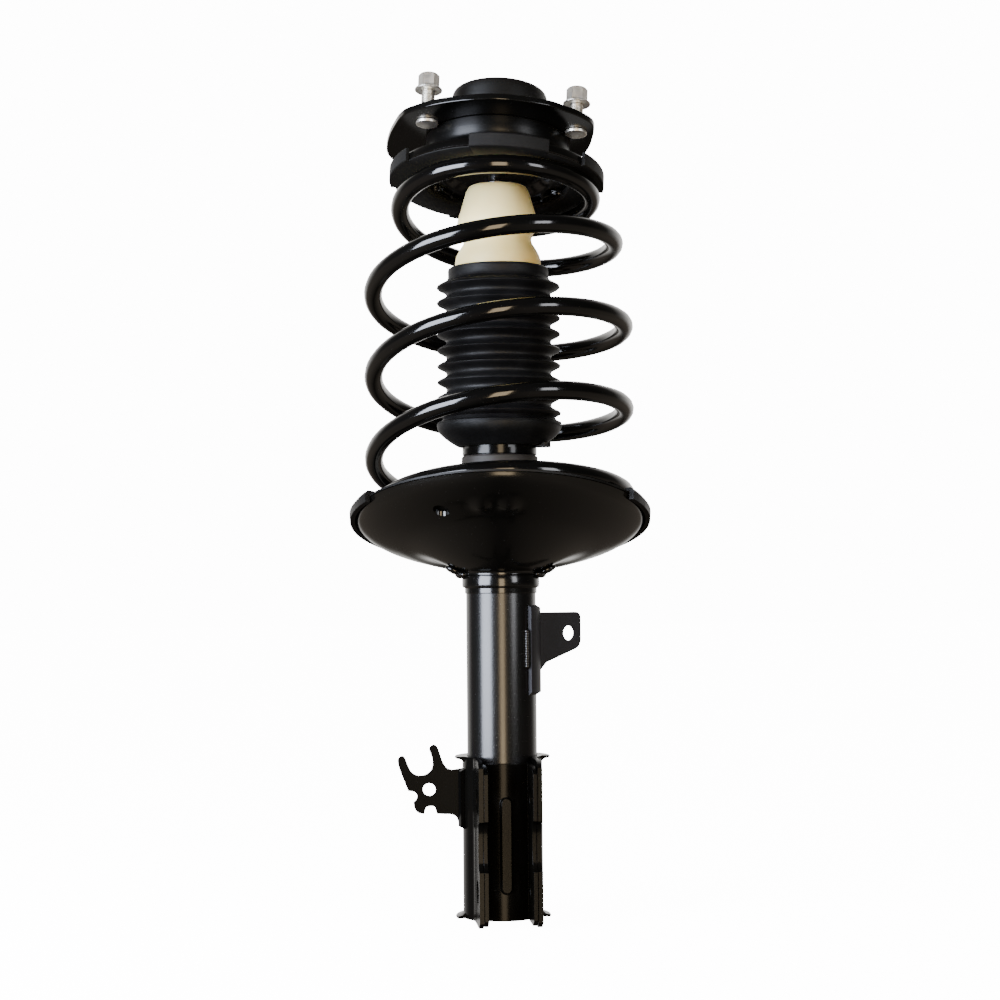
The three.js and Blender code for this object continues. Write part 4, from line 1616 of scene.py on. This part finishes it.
@dataclass
class Studio:
    """A pale floor, soft panels and the camera."""

    camera_y: float = -1.444
    camera_z: float = 0.236
    lens: float = 71.1
    film: float = 36.0
    pitch: float = 2.61
    roll: float = -0.49
    clip: Point = (0.05, 30.0)
    floor_size: float = 12.0
    floor_drop: float = 0.0012
    paper: float = 14.0
    spill: float = 2.1
    # Reflected surroundings: from the camera's side to the far side, and the ground from its middle outwards.
    level: tuple[tuple[float, Colour], ...] = (
        (0.0, (0.02, 0.02, 0.02)), (0.45, (0.06, 0.055, 0.05)), (0.85, (0.9, 0.88, 0.85)))
    below: tuple[tuple[float, Colour], ...] = ((0.0, (0.013, 0.011, 0.0095)), (0.6, (0.130, 0.111, 0.092)))
    horizon: float = -0.30
    panels: tuple[Panel, ...] = (
        Panel("left_panel", -50.0, 1.6, 0.55, 1.0, 1.15, 104.0, (0.80, 0.86, 1.0)),
        Panel("warm_panel", 3.0, 2.1, 0.14, 0.55, 1.60, 27.0, (1.0, 0.78, 0.50)),
        Panel("right_panel", 42.0, 1.7, 0.70, 0.42, 0.80, 11.0, (0.94, 0.95, 1.0)),
    )

    def build(self) -> None:
        """Sets up camera, floor, surroundings and panels."""
        self._camera()
        self._floor()
        self._surround()
        for panel in self.panels:
            panel.hang(Vector((0, 0, panel.height - 0.1)))

    def _camera(self) -> None:
        """A level-eyed camera, pitched a little up and rolled a touch."""
        data = bpy.data.cameras.new("camera")
        data.lens = self.lens
        data.sensor_width = self.film
        data.clip_start, data.clip_end = self.clip
        camera = placed("camera", data)
        camera.matrix_world = shift(0, self.camera_y, self.camera_z) @ (turn(90 + self.pitch, "X") @ turn(self.roll))
        bpy.context.scene.camera = camera

    def _floor(self) -> None:
        """A wide pale floor that glossy pieces don't mirror."""
        bm = bmesh.new()
        bmesh.ops.create_grid(bm, x_segments=1, y_segments=1, size=self.floor_size)
        bmesh.ops.translate(bm, verts=bm.verts, vec=(0, 0, CAD_BOX[0].z - self.floor_drop))
        mesh = bpy.data.meshes.new("floor")
        bm.to_mesh(mesh)
        bm.free()
        floor = placed("floor", mesh)
        shader = Shader("floor_paper")
        tone = shader.mix(shader.noise(0.4, 2), (0.86, 0.86, 0.86), (0.9, 0.9, 0.9))
        shader.set(Base_Color=tone, Roughness=0.9, Specular_IOR_Level=0.1,
                   Emission_Color=(1, 1, 1, 1), Emission_Strength=self.paper)
        mesh.materials.append(shader.material)
        floor.visible_glossy = False
        floor.visible_diffuse = False
        floor.visible_shadow = False

    def _surround(self) -> None:
        """White behind the object, and dark on the camera's side for reflections."""
        world = bpy.data.worlds.new("surround")
        bpy.context.scene.world = world
        nodes = Nodes(world)
        direction = nodes.node("ShaderNodeTexCoord").outputs["Generated"]
        across, along, up = nodes.node("ShaderNodeSeparateXYZ", None, {0: direction}).outputs
        level = nodes.node("ShaderNodeValToRGB", {"stops": self.level}, {0: along})
        aside = nodes.node("ShaderNodeMath", {"operation": "ABSOLUTE"}, {0: across})
        below = nodes.node("ShaderNodeValToRGB", {"stops": self.below}, {0: aside.outputs[0]})
        sink = nodes.node("ShaderNodeMapRange", None, {0: up, 1: self.horizon, 2: 0.0, 3: 1.0, 4: 0.0})
        tone = nodes.node("ShaderNodeMix", {"data_type": "RGBA"}, {
            0: sink.outputs[0], 6: level.outputs[0], 7: below.outputs[0]})
        near = nodes.node("ShaderNodeBackground", None, {0: tone.outputs[2], 1: self.spill})
        far = nodes.node("ShaderNodeBackground", None, {0: (1, 1, 1, 1), 1: self.paper})
        seen = nodes.node("ShaderNodeLightPath").outputs["Is Camera Ray"]
        pick = nodes.node("ShaderNodeMixShader", None, {0: seen, 1: near.outputs[0], 2: far.outputs[0]})
        nodes.node("ShaderNodeOutputWorld", None, {0: pick.outputs[0]})


# ---- all of it ----------------------------------------------------------------------------------------


def main() -> None:
    """Builds the studio and then the strut, from the damper outwards."""
    logging.basicConfig(level=logging.INFO, format="%(name)s: %(message)s")
    for part in (Studio(), Damper(), Clamp(), Brackets(), LowerSeat(), CoilSpring(), Bellows(), BumpStop(),
                 TopMount()):
        part.build()
        LOG.info("%s done", type(part).__name__)


if __name__ == "__main__":
    main()
